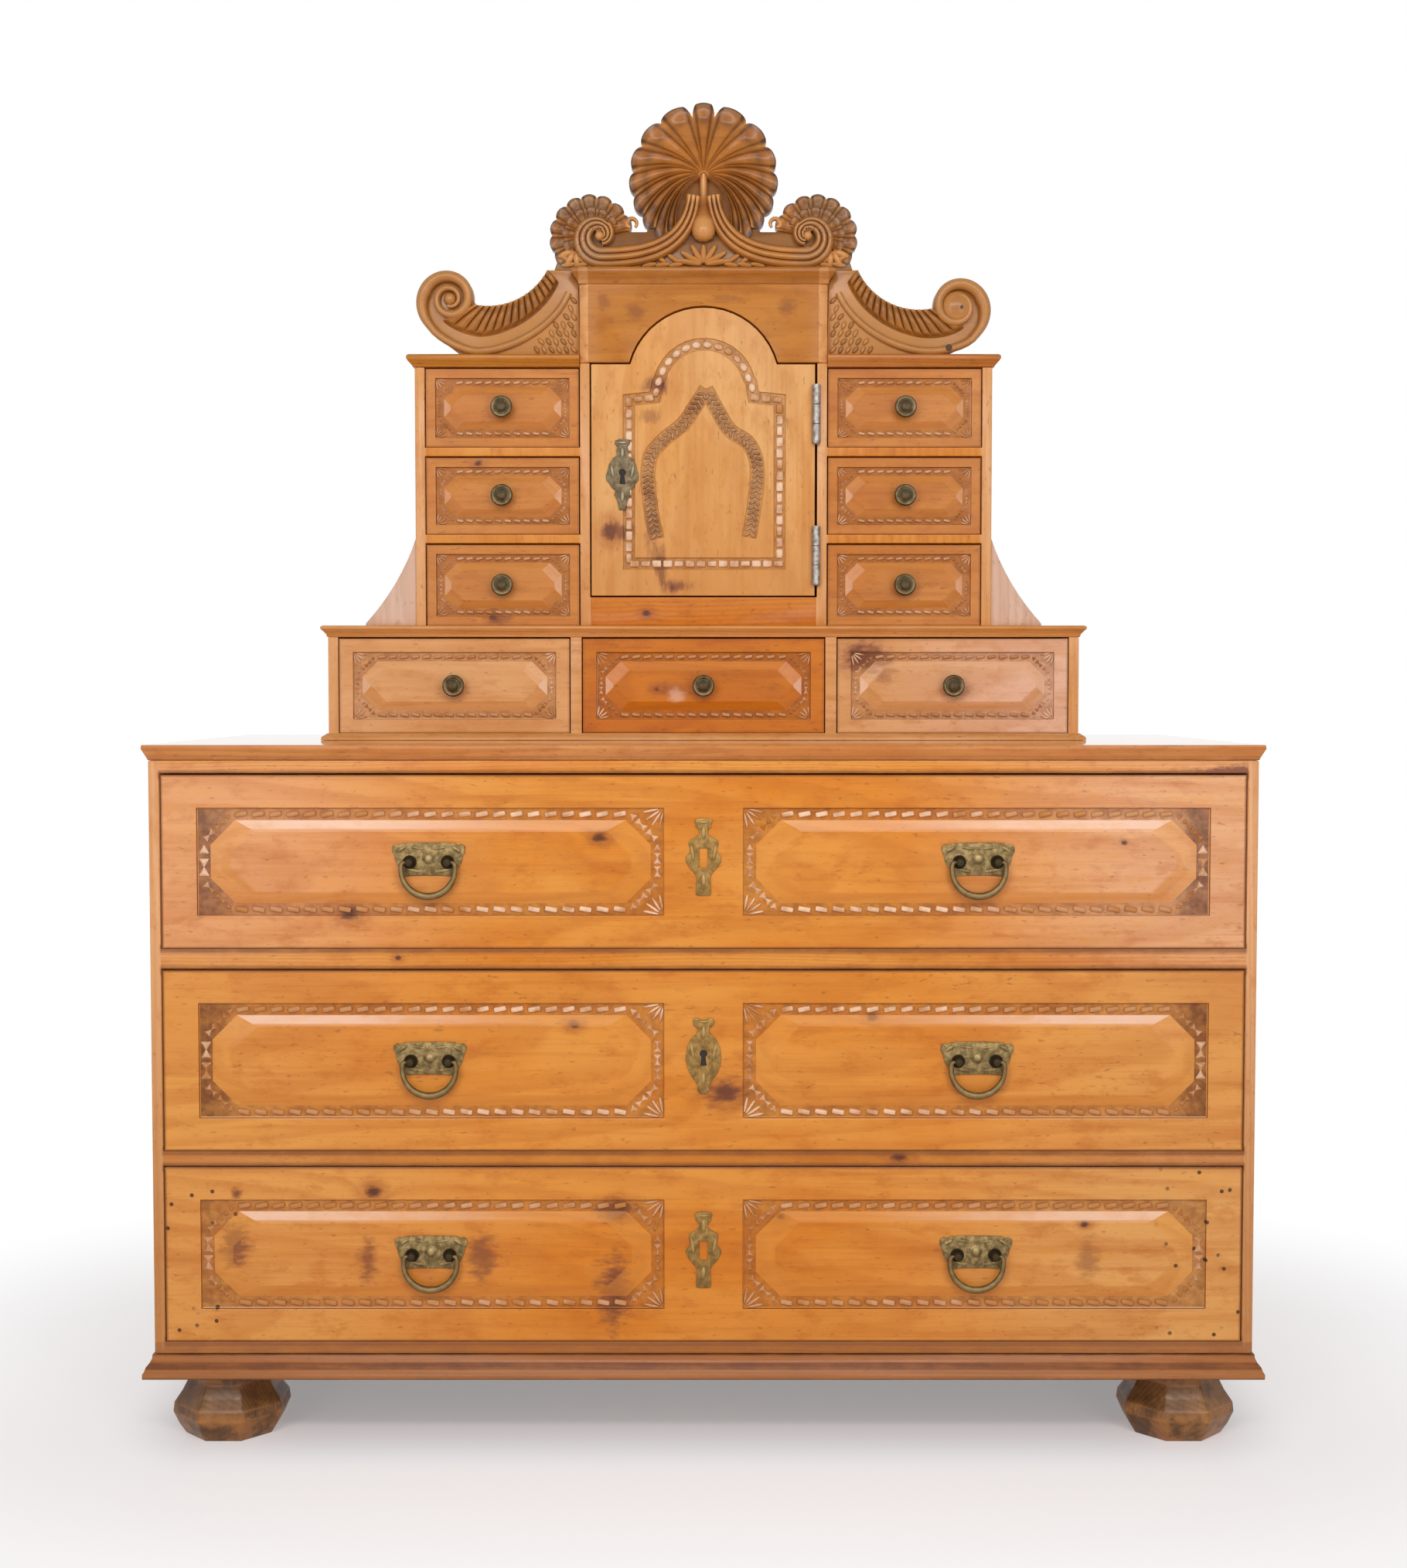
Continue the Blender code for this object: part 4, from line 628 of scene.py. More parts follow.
brassTones = {  # tarnish, metal, rubbed metal
    "plate": ((0.18, 0.12, 0.048), (0.36, 0.25, 0.105), (0.54, 0.41, 0.20)),
    "bail": ((0.085, 0.052, 0.02), (0.20, 0.13, 0.052), (0.36, 0.25, 0.11)),
    "knob": ((0.10, 0.07, 0.034), (0.22, 0.165, 0.085), (0.42, 0.34, 0.19)),
    "escutcheon": ((0.18, 0.098, 0.028), (0.35, 0.205, 0.062), (0.52, 0.345, 0.13)),
    "doorPlate": ((0.075, 0.052, 0.028), (0.20, 0.15, 0.085), (0.50, 0.42, 0.29)),
}
lowDirt, speckDirt, deepDirt = (0.05, 0.034, 0.014), (0.08, 0.055, 0.022), (0.022, 0.013, 0.006)


def agedBrass(name, front, reach, tone="plate"):  # olive brass, dark in the low places and rubbed where touched
    f = Finish(name)
    cloud, speck = f.noise(f.place, 130.0, 4.0, 0.62), f.noise(f.place, 620.0, 2.0, 0.6)
    raised = (front - f.y) / reach
    low, grimyAndShaded = raised.ramp(0.55, 0.05), f.grimeAndShade()
    tarnish, metal, rubbed = brassTones[tone]
    f.colour = f.mix(cloud.ramp(0.32, 0.70), tarnish, metal)
    f.lay(raised.ramp(0.55, 1.0) * 0.40, rubbed)
    f.lay(low * cloud.ramp(0.65, 0.35) * 0.60, lowDirt)
    f.lay(speck.ramp(0.58, 0.76) * 0.45, speckDirt)
    f.lay(grimyAndShaded * 0.9, deepDirt)
    shine = 0.40 + cloud * 0.22 + low * 0.10 + grimyAndShaded * 0.2
    return f.put(shine, cloud * 0.6 + speck * 0.4, 0.00035, Metallic=0.80, SpecularIORLevel=0.3)


def wornSteel(name):
    f = Finish(name)
    cloud = f.noise(f.place, 160.0, 4.0, 0.6)
    scratch = f.figure((f.x, f.y, f.z), (900.0, 900.0, 60.0), 2.0, 0.5)
    f.colour = f.mix(cloud.ramp(0.36, 0.70), (0.40, 0.37, 0.35), (0.17, 0.135, 0.105))
    return f.put(0.36 + scratch * 0.25, scratch + cloud, 0.0002, Metallic=0.70)


def shadowed(name):  # the dark of a keyhole
    f = Finish(name)
    f.colour = f.mix(f.noise(f.place, 300.0, 2.0), (0.010, 0.006, 0.004), (0.028, 0.016, 0.009))
    return f.put(0.8)


# Boards that keep their CAD form, softened at the edges

boards = {  # edge softening and what the finish takes
    "chest_case": (0.0014, dict(
        seed=1.3, middle=0.36, face=-0.283, upright=0.658, zones=[("pale", 0.6575, 1.0)],
        knots=[(0.2386, 0.3607, 0.009), (-0.37, 0.604, 0.004)],
        # painted shadow of the drawer gaps along the rails, at these heights
        gapShadowLines=[0.1328, 0.3475, 0.3678, 0.5885, 0.6153, 0.826], bands=[(0.11, 0.132, (0.30, 0.105, 0.034), 0.62)],
        # the last entry on the next line is a painted sheen towards the ends of the case
        fall=(0.72, 0.10, (0.40, 0.14, 0.016), 0.60), endSheen=(0.60, 0.25, 0.66, sheenAndPatchTints["rosy"]),
        stainsAndShadows=[(0.634, 0.829, 0.052, 0.0095, 1.0), (0.65, 0.83, 0.022, 0.011, 1.0)])),  # a painted shadow of a gap over the top drawer
    "chest_top": (0.0, dict(
        tone="nosing", grain="top", seed=2.1, face=0.862, plank=0.19, polished=True,
        knots=[(-0.384, -0.2895, 0.006), (-0.361, -0.2895, 0.006)],
        # painted shade: the dark line along the underside of the nosing
        bands=[(0.84, 0.845, (0.14, 0.04, 0.009), 0.70), (0.845, 0.849, (0.34, 0.115, 0.024), 0.45)])),
    "chest_back": (0.0008, dict(tone="raw", grain="z", seed=3.3, face=0.297, plank=0.149)),
    "base_moulding": (0.0012, dict(
        tone="umber", seed=4.2, middle=0.10, face=-0.296,
        bands=[(0.088, 0.1005, (0.42, 0.175, 0.055), 0.50), (0.1012, 0.1082, (0.14, 0.038, 0.008), 0.76),
               (0.109, 0.116, (0.39, 0.138, 0.034), 0.55), (0.1164, 0.119, (0.07, 0.022, 0.006), 0.85),
               # painted shadow: the dark line along the foot of the moulding
               (0.088, 0.091, (0.04, 0.013, 0.005), 0.80)])),
    "tier_case": (0.0012, dict(
        tone="pale", seed=5.4, middle=0.93, face=-0.043, upright=0.482, zones=[("pale", 0.482, 1.0)])),
    "tier_top": (0.001, dict(tone="pale", grain="top", seed=6.5, middle=0.1, face=1.013, plank=0.17)),
    "upper_case": (0.0012, dict(
        tone="pale", seed=7.9, middle=1.2, face=-0.033, upright=0.148, knots=[(-0.075, 1.03, 0.006)],
        zones=[("orange", 0.0, 0.149), ("dusty", 0.3812, 1.0), ("honey", 0.164, 0.366)])),
    "upper_back": (0.0008, dict(tone="raw", grain="z", seed=8.8, face=0.297, plank=0.16)),
    "cap_left": (0.001, dict(tone="golden", grain="top", seed=9.2, middle=0.1, face=1.369, plank=0.17)),
    "cap_right": (0.001, dict(tone="amber", grain="top", seed=10.6, middle=0.1, face=1.369, plank=0.17)),
    "frieze_cornice": (0.001, dict(
        tone="golden", seed=11.7, middle=1.42, face=-0.037, zones=[("pale", 0.1515, 0.164)],
        bands=[(1.46, 1.483, (0.24, 0.075, 0.014), 0.42)],
        stainsAndShadows=[(-0.089, 1.425, 0.016, 0.016, 0.50), (0.11, 1.4316, 0.016, 0.014, 0.55),
                (-0.131, 1.4384, 0.01, 0.014, 0.45), (0.03, 1.442, 0.02, 0.008, 0.35)])),
}
topEdge = {  # the nosing, drawn in below so that it reads as an ogee: height and overhang as shares
    "overhang": 0.007, "outs": ((0.0, 0.05), (0.12, 0.15), (0.35, 0.45), (0.75, 1.0), (1.0, 0.9)), "edge": 0.0007,
}


def drawIn(piece):
    corners = [vert.co for vert in piece.data.vertices]
    overhang = topEdge["overhang"]
    reach, front = max(abs(co.x) for co in corners) - overhang, min(co.y for co in corners) + overhang
    low, high = min(co.z for co in corners), max(co.z for co in corners)
    for co in corners:
        share = (co.z - low) / (high - low)
        out = overhang * min(topEdge["outs"], key=lambda pair: abs(pair[0] - share))[1]
        if abs(co.x) > reach:
            co.x = copysign(reach + out, co.x)
        if co.y < front:
            co.y = front - out
    smooth(soften(piece, topEdge["edge"]))


for node, (edge, look) in boards.items():
    isTop = node == "chest_top"
    piece = cadCopy(node, "board_" + node, edge, merge=not (isTop or node.endswith("_case")))
    if isTop:
        drawIn(piece)
    finishPiece(piece, node, "pine", pine("pine_" + node, **look))
for i, node in enumerate(named("foot_")):
    piece = cadCopy(node, "bun_" + node, 0.0014, 3)
    editAll(piece)
    bpy.ops.mesh.subdivide(number_cuts=5)  # finer faces, so that the wear keeps to the edges
    leaveEdit()
    finish = pine("pine_" + node, "bun", "z", 12.0 + i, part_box(node)[0].x, -0.2, worn=0.35, patchy=0.65)
    finishPiece(piece, node, "pine", finish)
print("boards done")


# Chip carving stamped into the drawers' bands

chips = {
    "rope": (0.015, 0.0042, 0.006), "ropeRound": 0.0015, "ropeLean": 0.18, "ropePitch": 0.0205,
    "tooth": 0.0058, "toothRise": 0.004, "toothPitch": 0.0085, "bold": 1.45, "fan": 4,
}


def chipShape(name, turn=(0, 0, 0), size=(1, 1, 1), rounding=0.0, segments=1, angle=60):
    item = newest(name)
    item.rotation_euler, item.scale = [radians(part) for part in turn], size
    takeUp(item)
    bpy.ops.object.transform_apply(location=True, rotation=True, scale=True)
    if rounding:
        editAll(item)
        bpy.ops.mesh.bevel(offset=rounding, segments=segments, affect='EDGES')
        leaveEdit()
    return smooth(item, angle)


bpy.ops.mesh.primitive_cube_add(size=1)
rope = chipShape("rope", (0, 0, 0), chips["rope"], chips["ropeRound"], 2, 50)
radius = chips["tooth"]
bpy.ops.mesh.primitive_cone_add(vertices=3, radius1=radius, radius2=radius * 0.22, depth=chips["toothRise"])
tooth = chipShape("tooth", (90, 0, 0), rounding=radius * 0.10, angle=20)
bpy.ops.mesh.primitive_uv_sphere_add(segments=8, ring_count=5, radius=0.5)
leaf = chipShape("leaf", (0, 90, 0))


def panelRows(x0, z0, x1, z1, kind, floor):
    bx, bz, cant, size = kind["bandEnd"], kind["bandEdge"], kind["cant"], kind["size"]
    ropes, teeth, ridges = [], [], []

    def toothRow(line, bold):  # teeth that point in and out by turns
        for i, (x, z, heading) in enumerate(along(line, chips["toothPitch"] * size * bold)):
            turn = heading + (pi / 2 if i % 2 else -pi / 2)
            teeth.append(onFront(x, floor - 0.0014, z, turn, (size * bold, 1, size * bold)))

    for z, lean in ((z1 - bz / 2, 1), (z0 + bz / 2, -1)):
        row = along([(x0 + bx + cant * 0.9, z), (x1 - bx - cant * 0.9, z)], chips["ropePitch"] * size)
        ropes += [onFront(x, floor - 0.0012, cz, heading + lean * chips["ropeLean"], (size, 1, size))
                  for x, cz, heading in row]
    for cx, cz, sx, sz in ((x0, z0, 1, 1), (x1, z0, -1, 1), (x1, z1, -1, -1), (x0, z1, 1, -1)):
        toothRow([(cx + sx * bx / 2, cz + sz * (bz + cant * 0.82)),
                  (cx + sx * (bx + cant * 0.82), cz + sz * bz / 2)], 1.0)
        outer = abs(cx) > abs(x0 + x1 - cx) and abs(cx) > 0.5
        for i in range(0 if outer else chips["fan"]):  # a fan of ridges from the corner, worn off at the far ends
            angle = radians(12 + 22 * i)
            reach = (bx + cant) * 0.56
            fx, fz = cx + sx * cos(angle) * reach * 0.62, cz + sz * sin(angle) * reach * 0.62
            turn = atan2(sz * sin(angle), sx * cos(angle))
            ridges.append(onFront(fx, floor - 0.0004, fz, turn, (reach * 0.80, 0.0046, 0.0034 * size)))
    for x in (x0 + bx / 2, x1 - bx / 2):  # the teeth at the far ends are larger
        toothRow([(x, z0 + bz + cant), (x, z1 - bz - cant)], chips["bold"] if abs(x) > 0.5 else 1.0)
    return stamp(rope, ropes) + stamp(tooth, teeth) + stamp(leaf, ridges)


panelSink = 0.004
drawerKinds = {  # the panels' margins, bands and cants, the chips' scale and paleness, the front's depth, the painted shadow of the gap round it
    "large": dict(end=0.043, edge=0.04, middle=0.096, bandEnd=0.016, bandEdge=0.015, cant=0.03, size=1.0,
                  softening=0.001, deep=0.0215, spread=0.30, glare=(0.85, 0.0), edging=0.60),
    "tier": dict(end=0.018, edge=0.018, middle=0.0, bandEnd=0.012, bandEdge=0.012, cant=0.02, size=0.72,
                 softening=0.0008, deep=0.0155, spread=0.40, levels=(0.24, 1.0), glare=(0.0, 0.70), edging=0.30),
    "bank": dict(end=0.0125, edge=0.0125, middle=0.0, bandEnd=0.011, bandEdge=0.011, cant=0.016, size=0.60,
                 softening=0.0008, deep=0.0155, spread=0.36, levels=(0.42, 0.80), glare=(0.0, 0.50), edging=0.30),
}
drawers = {  # what the front's finish takes; levels say how pale the rows and the ends are; the ends carry a painted sheen
    "large_top": dict(
        seed=31.0, levels=(1.0, 1.0), endSheen=(0.86, 0.20, 0.60, sheenAndPatchTints["rosy"]),
        knots=[(-0.125, 0.7504, 0.0085), (-0.4297, 0.6584, 0.011), (0.509, 0.744, 0.0035)]),
    "large_middle": dict(
        seed=33.4, levels=(0.9, 0.75), endSheen=(0.60, 0.20, 0.60, sheenAndPatchTints["golden"]),
        knots=[(0.0266, 0.4385, 0.015), (-0.1575, 0.5227, 0.007), (0.205, 0.531, 0.006)],
        stainsAndShadows=[(0.0266, 0.4385, 0.034, 0.022, 0.55)]),
    "large_bottom": dict(
        seed=35.9, levels=(0.42, 0.40), endSheen=(0.92, 0.14, 0.54, sheenAndPatchTints["golden"]), holes=30.0, endGrime=0.10,
        knots=[(-0.4031, 0.3188, 0.009), (-0.1015, 0.294, 0.011), (0.094, 0.286, 0.005), (0.465, 0.278, 0.005)],
        stainsAndShadows=[(-0.5724, 0.2521, 0.022, 0.036, 0.85), (-0.4094, 0.233, 0.014, 0.034, 0.75),
                (-0.2687, 0.2378, 0.022, 0.036, 0.75), (-0.109, 0.195, 0.026, 0.056, 0.95),
                (-0.11, 0.293, 0.026, 0.02, 0.80), (0.30, 0.24, 0.02, 0.014, 0.35),
                (-0.57, 0.315, 0.009, 0.01, 0.90), (0.47, 0.235, 0.018, 0.03, 0.50)]),
    "tier_left": dict(tone="pale", seed=37.0),
    "tier_centre": dict(
        tone="orange", seed=38.3, knots=[(-0.062, 0.929, 0.005)],
        stainsAndShadows=[(-0.04, 0.93, 0.034, 0.012, 0.45), (-0.036, 0.922, 0.013, 0.015, -0.60)]),
    "tier_right": dict(
        tone="pale", seed=39.8, endSheen=(0.90, 0.18, 0.44, sheenAndPatchTints["blush"]), knots=[(0.2065, 0.9739, 0.015)],
        stainsAndShadows=[(0.215, 0.972, 0.036, 0.026, 0.85), (0.24, 0.955, 0.016, 0.022, 0.40),
                (0.345, 0.928, 0.018, 0.02, 0.30)]),
    "bank_left_top": dict(tone="bank", seed=41.0),
    "bank_left_middle": dict(tone="bank", seed=42.1, knots=[(-0.297, 1.228, 0.005)]),
    "bank_left_bottom": dict(
        tone="bank", seed=43.7, knots=[(-0.279, 1.024, 0.006)], stainsAndShadows=[(-0.268, 1.022, 0.022, 0.014, 0.55)]),
    "bank_right_top": dict(tone="bank", seed=44.2),
    "bank_right_middle": dict(tone="bank", seed=45.6),
    "bank_right_bottom": dict(tone="bank", seed=46.9),
}
rawSide = pine("pine_drawer_boxes", "raw", "y", 21.0, plank=0.11)
for name, look in drawers.items():
    node = "drawer_" + name
    kind = drawerKinds[name.split("_")[0]]
    isLarge = kind is drawerKinds["large"]
    lo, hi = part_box(node)
    half, seed, levels = (lo.x + hi.x) / 2, look["seed"], look.pop("levels", None) or kind["levels"]
    piece = smooth(cadCopy(node, "front_" + node, kind["softening"]), 7)  # the shallow bevels stay crisp
    spans = [(lo.x + kind["end"], hi.x - kind["end"])]
    if kind["middle"]:
        spans = [(spans[0][0], half - kind["middle"] / 2), (half + kind["middle"] / 2, spans[0][1])]
    carving = []
    for x0, x1 in spans:
        carving += panelRows(x0, lo.z + kind["edge"], x1, hi.z - kind["edge"], kind, lo.y + panelSink)
    finish = pine("pine_" + node, middle=(lo.z + hi.z) / 2 + 0.3 * (hi.z - lo.z) * sin(seed), face=lo.y,
                  carvedFrom=lo.y, edges=(lo.x, lo.z, hi.x, hi.z), edging=kind["edging"], glare=kind["glare"], **look)
    ends = 0.597 if isLarge else (hi.x - lo.x) / 2 - kind["end"] - kind["bandEnd"]
    chipFinish = chipWood("chips_" + node, seed, kind["spread"], 0.0 if isLarge else half, ends, levels)
    dress(piece, finish, rawSide)
    for face in piece.data.polygons:  # the drawer's box behind its front is raw wood
        face.material_index = 1 if face.center.y > lo.y + kind["deep"] else 0
    for item in carving:
        dress(item, chipFinish)
    finishPiece(join(piece.name, [piece] + carving), node, "pine")
print("drawers done")


# Door with its chip-carved border and leafy arch

doorCarving = {
    "border": 0.0155, "borderDepth": 0.003, "pitch": 0.01462, "archFoot": 1.32, "foot": (0.001, 1.0955),
    "leafBand": 0.019, "leafDepth": 0.0022, "leafPitch": 0.0072, "leafOut": 0.0042, "leafLean": 52,
    "bead": (0.0125, 0.0056, 0.01), "leaf": (0.01, 0.0044, 0.0046),
}
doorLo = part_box("door")[0]
borderLine = [(-0.0985, 1.0955), (-0.0985, 1.3105), (-0.064, 1.314), (-0.06, 1.333)]
borderLine += arc((0.001, 1.323), 0.0605, radians(165), radians(15), 14)
borderLine += [(0.063, 1.333), (0.066, 1.314), (0.1005, 1.3105), (0.1005, 1.0955)]
leafLines = [
    [(0.0035, 1.3245), (-0.0095, 1.3042), (-0.027, 1.2789), (-0.05, 1.2604), (-0.068, 1.2401),
     (-0.0735, 1.2165), (-0.0718, 1.186), (-0.0675, 1.1555), (-0.0613, 1.1284)],
    [(0.0035, 1.3245), (0.018, 1.2975), (0.035, 1.2705), (0.058, 1.2553), (0.069, 1.2334),
     (0.071, 1.2063), (0.068, 1.1792), (0.064, 1.1521), (0.0605, 1.13)],
]


def stripOutline(line, width):  # both edges of a band along a line, mitred at its corners
    sides = ([], [])
    for i, point in enumerate(line):
        before, after = line[max(0, i - 1)], line[min(len(line) - 1, i + 1)]
        normals = []
        for a, b in ((before, point), (point, after)):
            length = dist(a, b)
            if length > 1e-9:
                normals.append(Vector((-(b[1] - a[1]) / length, (b[0] - a[0]) / length)))
        normal = sum(normals, Vector((0, 0))).normalized()
        reach = width / 2 / max(0.5, normal.dot(normals[0]))
        for side, edge in zip((1, -1), sides):
            edge.append((point[0] + side * normal.x * reach, point[1] + side * normal.y * reach))
    return sides[0] + sides[1][::-1]


def carveDoor(*finishes):
    piece = cadCopy("door", "front_door", 0.0)
    half, foot = len(borderLine) // 2, doorCarving["foot"]
    borderFloor, leafFloor = doorLo.y + doorCarving["borderDepth"], doorLo.y + doorCarving["leafDepth"]
    borders = ([foot] + borderLine[:half + 1], borderLine[half:] + [foot])
    stems = [spline(line, 4) for line in leafLines]
    for lines, width, floor in ((borders, "border", borderFloor), (stems, "leafBand", leafFloor)):
        for line in lines:
            cutAway(piece, sawnBoard("groove", stripOutline(line, doorCarving[width]), doorLo.y - 0.003, floor))
    smooth(soften(piece, 0.0006, 1, clamp=False))
    blocks, beads, leaves = [], [], []
    for i, (x, z, heading) in enumerate(along(borderLine + borderLine[:1], doorCarving["pitch"])):
        if z > doorCarving["archFoot"]:  # ovals round the arch, blocks along the straight runs
            beads.append(onFront(x, borderFloor - 0.001, z, heading, doorCarving["bead"]))
        else:
            blocks.append(onFront(x, borderFloor - 0.0012, z, heading, (0.80, 1, 1.5 if i % 3 else 1.25)))
    for line in stems:
        for x, z, heading in along(line, doorCarving["leafPitch"], 0.003):
            for side in (-1, 1):
                lean, out = heading + side * radians(doorCarving["leafLean"]), doorCarving["leafOut"]
                leaves.append(onFront(x + out * cos(lean), leafFloor - 0.0008, z + out * sin(lean), lean,
                                      doorCarving["leaf"]))
    border, herringbone = stamp(rope, blocks) + stamp(leaf, beads), stamp(leaf, leaves)
    for items, finish in zip(([piece], border, herringbone), finishes):
        for item in items:
            dress(item, finish)
    return join("front_door", [piece] + border + herringbone)


doorFinish = pine(
    "pine_door", "door", "z", 51.0, 0.03, doorLo.y, carvedFrom=doorLo.y,
    knots=[(1.1372, -0.1223, 0.01), (1.3309, -0.0567, 0.007), (1.0639, -0.0416, 0.005)],
    stainsAndShadows=[(1.1372, -0.11, 0.014, 0.026, 0.8), (1.329, -0.064, 0.014, 0.022, 0.7),
            (1.09, -0.056, 0.028, 0.009, 0.75), (1.066, -0.036, 0.01, 0.026, 0.80),
            (1.143, -0.066, 0.03, 0.014, 0.60), (1.29, -0.07, 0.012, 0.018, 0.50),
            (1.175, -0.07, 0.034, 0.012, 0.45), (1.108, -0.064, 0.022, 0.016, 0.45)],
    fall=(1.22, 1.05, (0.58, 0.22, 0.04), 0.50))
doorChips, doorLeaves = chipWood("chips_door", 52.0, 0.30), chipWood("leaves_door", 53.0, 0.30, tone="drab")
finishPiece(carveDoor(doorFinish, doorChips, doorLeaves), "door", "pine")
print("door done")


# Carved crest

crest = {
    "front": -0.02315, "back": 0.00085, "foot": 1.4824, "halfFoot": 0.197, "waist": 0.005, "waistRise": 0.014,
    "shellRise": 0.1195, "shellRadius": 0.0915, "shellScallop": 0.007, "topLobe": 21.0, "nextLobe": 28.0,
    "lobeRatio": 0.88, "sideLobes": 8, "leafX": 0.1475, "leafRise": 0.043, "leafRadius": 0.0505,
    "leafScallop": 0.0055, "leafLobes": 9, "innerLobes": 7, "leafFrom": 10.0, "leafTo": 226.0, "notch": 0.05,
    "eyeIn": 0.0105, "curlAt": (0.0945, 0.061), "curlRadius": 0.0065, "dropRise": 0.036,
    "eye": [(0.0, 0.0135), (0.003, 0.0128), (0.0052, 0.0105), (0.0058, 0.007), (0.0058, 0.0), (0.0, 0.0)],
    "drop": [(0.0, 0.0), (0.006, 0.0008), (0.0115, 0.004), (0.015, 0.01), (0.0152, 0.016), (0.013, 0.025),
             (0.009, 0.035), (0.0056, 0.046), (0.0046, 0.06), (0.0046, 0.09), (0.0, 0.091)],
    "spray": ((90, 0.026), (58, 0.03), (122, 0.03), (30, 0.034), (150, 0.034), (10, 0.036), (170, 0.036)),
    "sprigs": 9, "sprigLeaves": ((34, 0.004, 0.015), (-8, 0.0, 0.0065)),  # lean, shift, rise
    "tips": ((-25, 0.024), (-60, 0.024), (-95, 0.022)),
}
fanGrid = {"perLobe": 20, "rings": 26}


def petalFan(name, centre, ridges, sizes, depths, bend=0.0, inner=0.05, notch=0.0, shade=0.0):
    radius, scallop, dome, scoop, lip = sizes
    front, back = depths
    lobes = len(ridges) - 1

    def petal(u, v):
        spot = u * lobes
        index = min(int(spot + 1e-6), lobes - 1)
        share = spot - index
        angle = ridges[index] + (ridges[index + 1] - ridges[index]) * share
        hollow = max(0.0, sin(pi * share)) ** 0.45
        reach = inner + (1 - inner) * v
        angle = pi / 2 + (angle - pi / 2) * (1 - bend + bend * reach ** 0.7)
        r = reach * radius + reach ** 6 * (scallop + 0.4 * scallop * (hollow - 1)) * hollow
        beside = min(share, 1 - share)
        ridge = index if share < 0.5 else index + 1
        cleft = notch if ridge in (lobes // 2, lobes // 2 + 1) else 0.15 * notch  # the top petal stands free
        r -= cleft * reach ** 9 * max(0.0, 1 - beside / 0.20) ** 1.5
        lipped = max(0.0, (reach - 0.84) / 0.16)
        y = front - dome * (1 - reach ** 2) + scoop * min(1.0, 1.9 * reach) * hollow * (1 - 0.55 * lipped ** 2)
        y -= lip * sin(pi * min(1.0, lipped)) * hollow
        # painted shade beside each ridge and under the curled lip, dirt with painted shade at the rim, a painted
        # highlight on the ridge
        dirtAndShade = 0.75 * exp(-((beside - 0.16) / 0.06) ** 2) * min(1.0, 2.2 * reach) - 1.1 * exp(-(beside / 0.06) ** 2)
        dirtAndShade += max(0.0, (reach - 0.93) / 0.07) + 0.5 * exp(-((reach - 0.82) / 0.05) ** 2) * hollow ** 4
        dirtAndShade += shade * max(0.0, 0.25 - sin(angle))  # painted shade: the lower petals are darker
        return (centre[0] + r * cos(angle), y, centre[1] + r * sin(angle)), min(1.0, dirtAndShade)

    return carvedSheet(name, lobes * fanGrid["perLobe"], fanGrid["rings"], petal, back)


def lobeAngles():
    steps, width = [crest["topLobe"] / 2], crest["nextLobe"]
    while len(steps) <= crest["sideLobes"]:
        steps.append(steps[-1] + width)
        width *= crest["lobeRatio"]
    return [radians(90 - step) for step in reversed(steps)] + [radians(90 + step) for step in steps]


def scrollLine():  # from beside the stem down and out, then curling up inside the leaf
    eye = (crest["leafX"] - crest["eyeIn"], crest["foot"] + crest["leafRise"])
    curl = []
    for i in range(33):
        share = i / 32
        angle, radius = pi * (-0.55 + 1.9 * share), 0.028 - 0.021 * share
        curl.append((eye[0] + radius * cos(angle), eye[1] + radius * sin(angle)))
    start = (0.013, crest["foot"] + 0.80 * crest["shellRise"])
    sweep = bezier(start, (0.019, crest["foot"] + 0.024), (0.6 * eye[0], curl[0][1]), curl[0], 20)
    return sweep[:-1] + curl


def flutedBand(line, side, front, back, widths):  # a band of three reeds swept along a line
    last = len(line) - 1

    def reeds(u, v):
        spot = min(u * last, last - 1e-6)
        i = int(spot)
        share = spot - i
        x, z = (line[i][k] + (line[i + 1][k] - line[i][k]) * share for k in (0, 1))
        a, b = line[max(0, i - 1)], line[min(last, i + 2)]
        length = dist(a, b)
        across = 2 * v - 1
        reach = across * (widths[i] + (widths[i + 1] - widths[i]) * share)
        x, z = x - reach * (b[1] - a[1]) / length, z + reach * (b[0] - a[0]) / length
        reed = abs(cos(1.5 * pi * across))
        lift = 0.0075 * sqrt(max(0.0, 1 - 0.72 * across ** 2)) + 0.0022 * reed ** 0.7
        # painted shade in the grooves between the reeds, a painted highlight on their crests
        return (side * x, front - lift, z), max(0.0, 1 - 2.6 * reed) * 0.9 - max(0.0, reed - 0.8) * 3

    return carvedSheet("band", last * 2, 24, reeds, back)


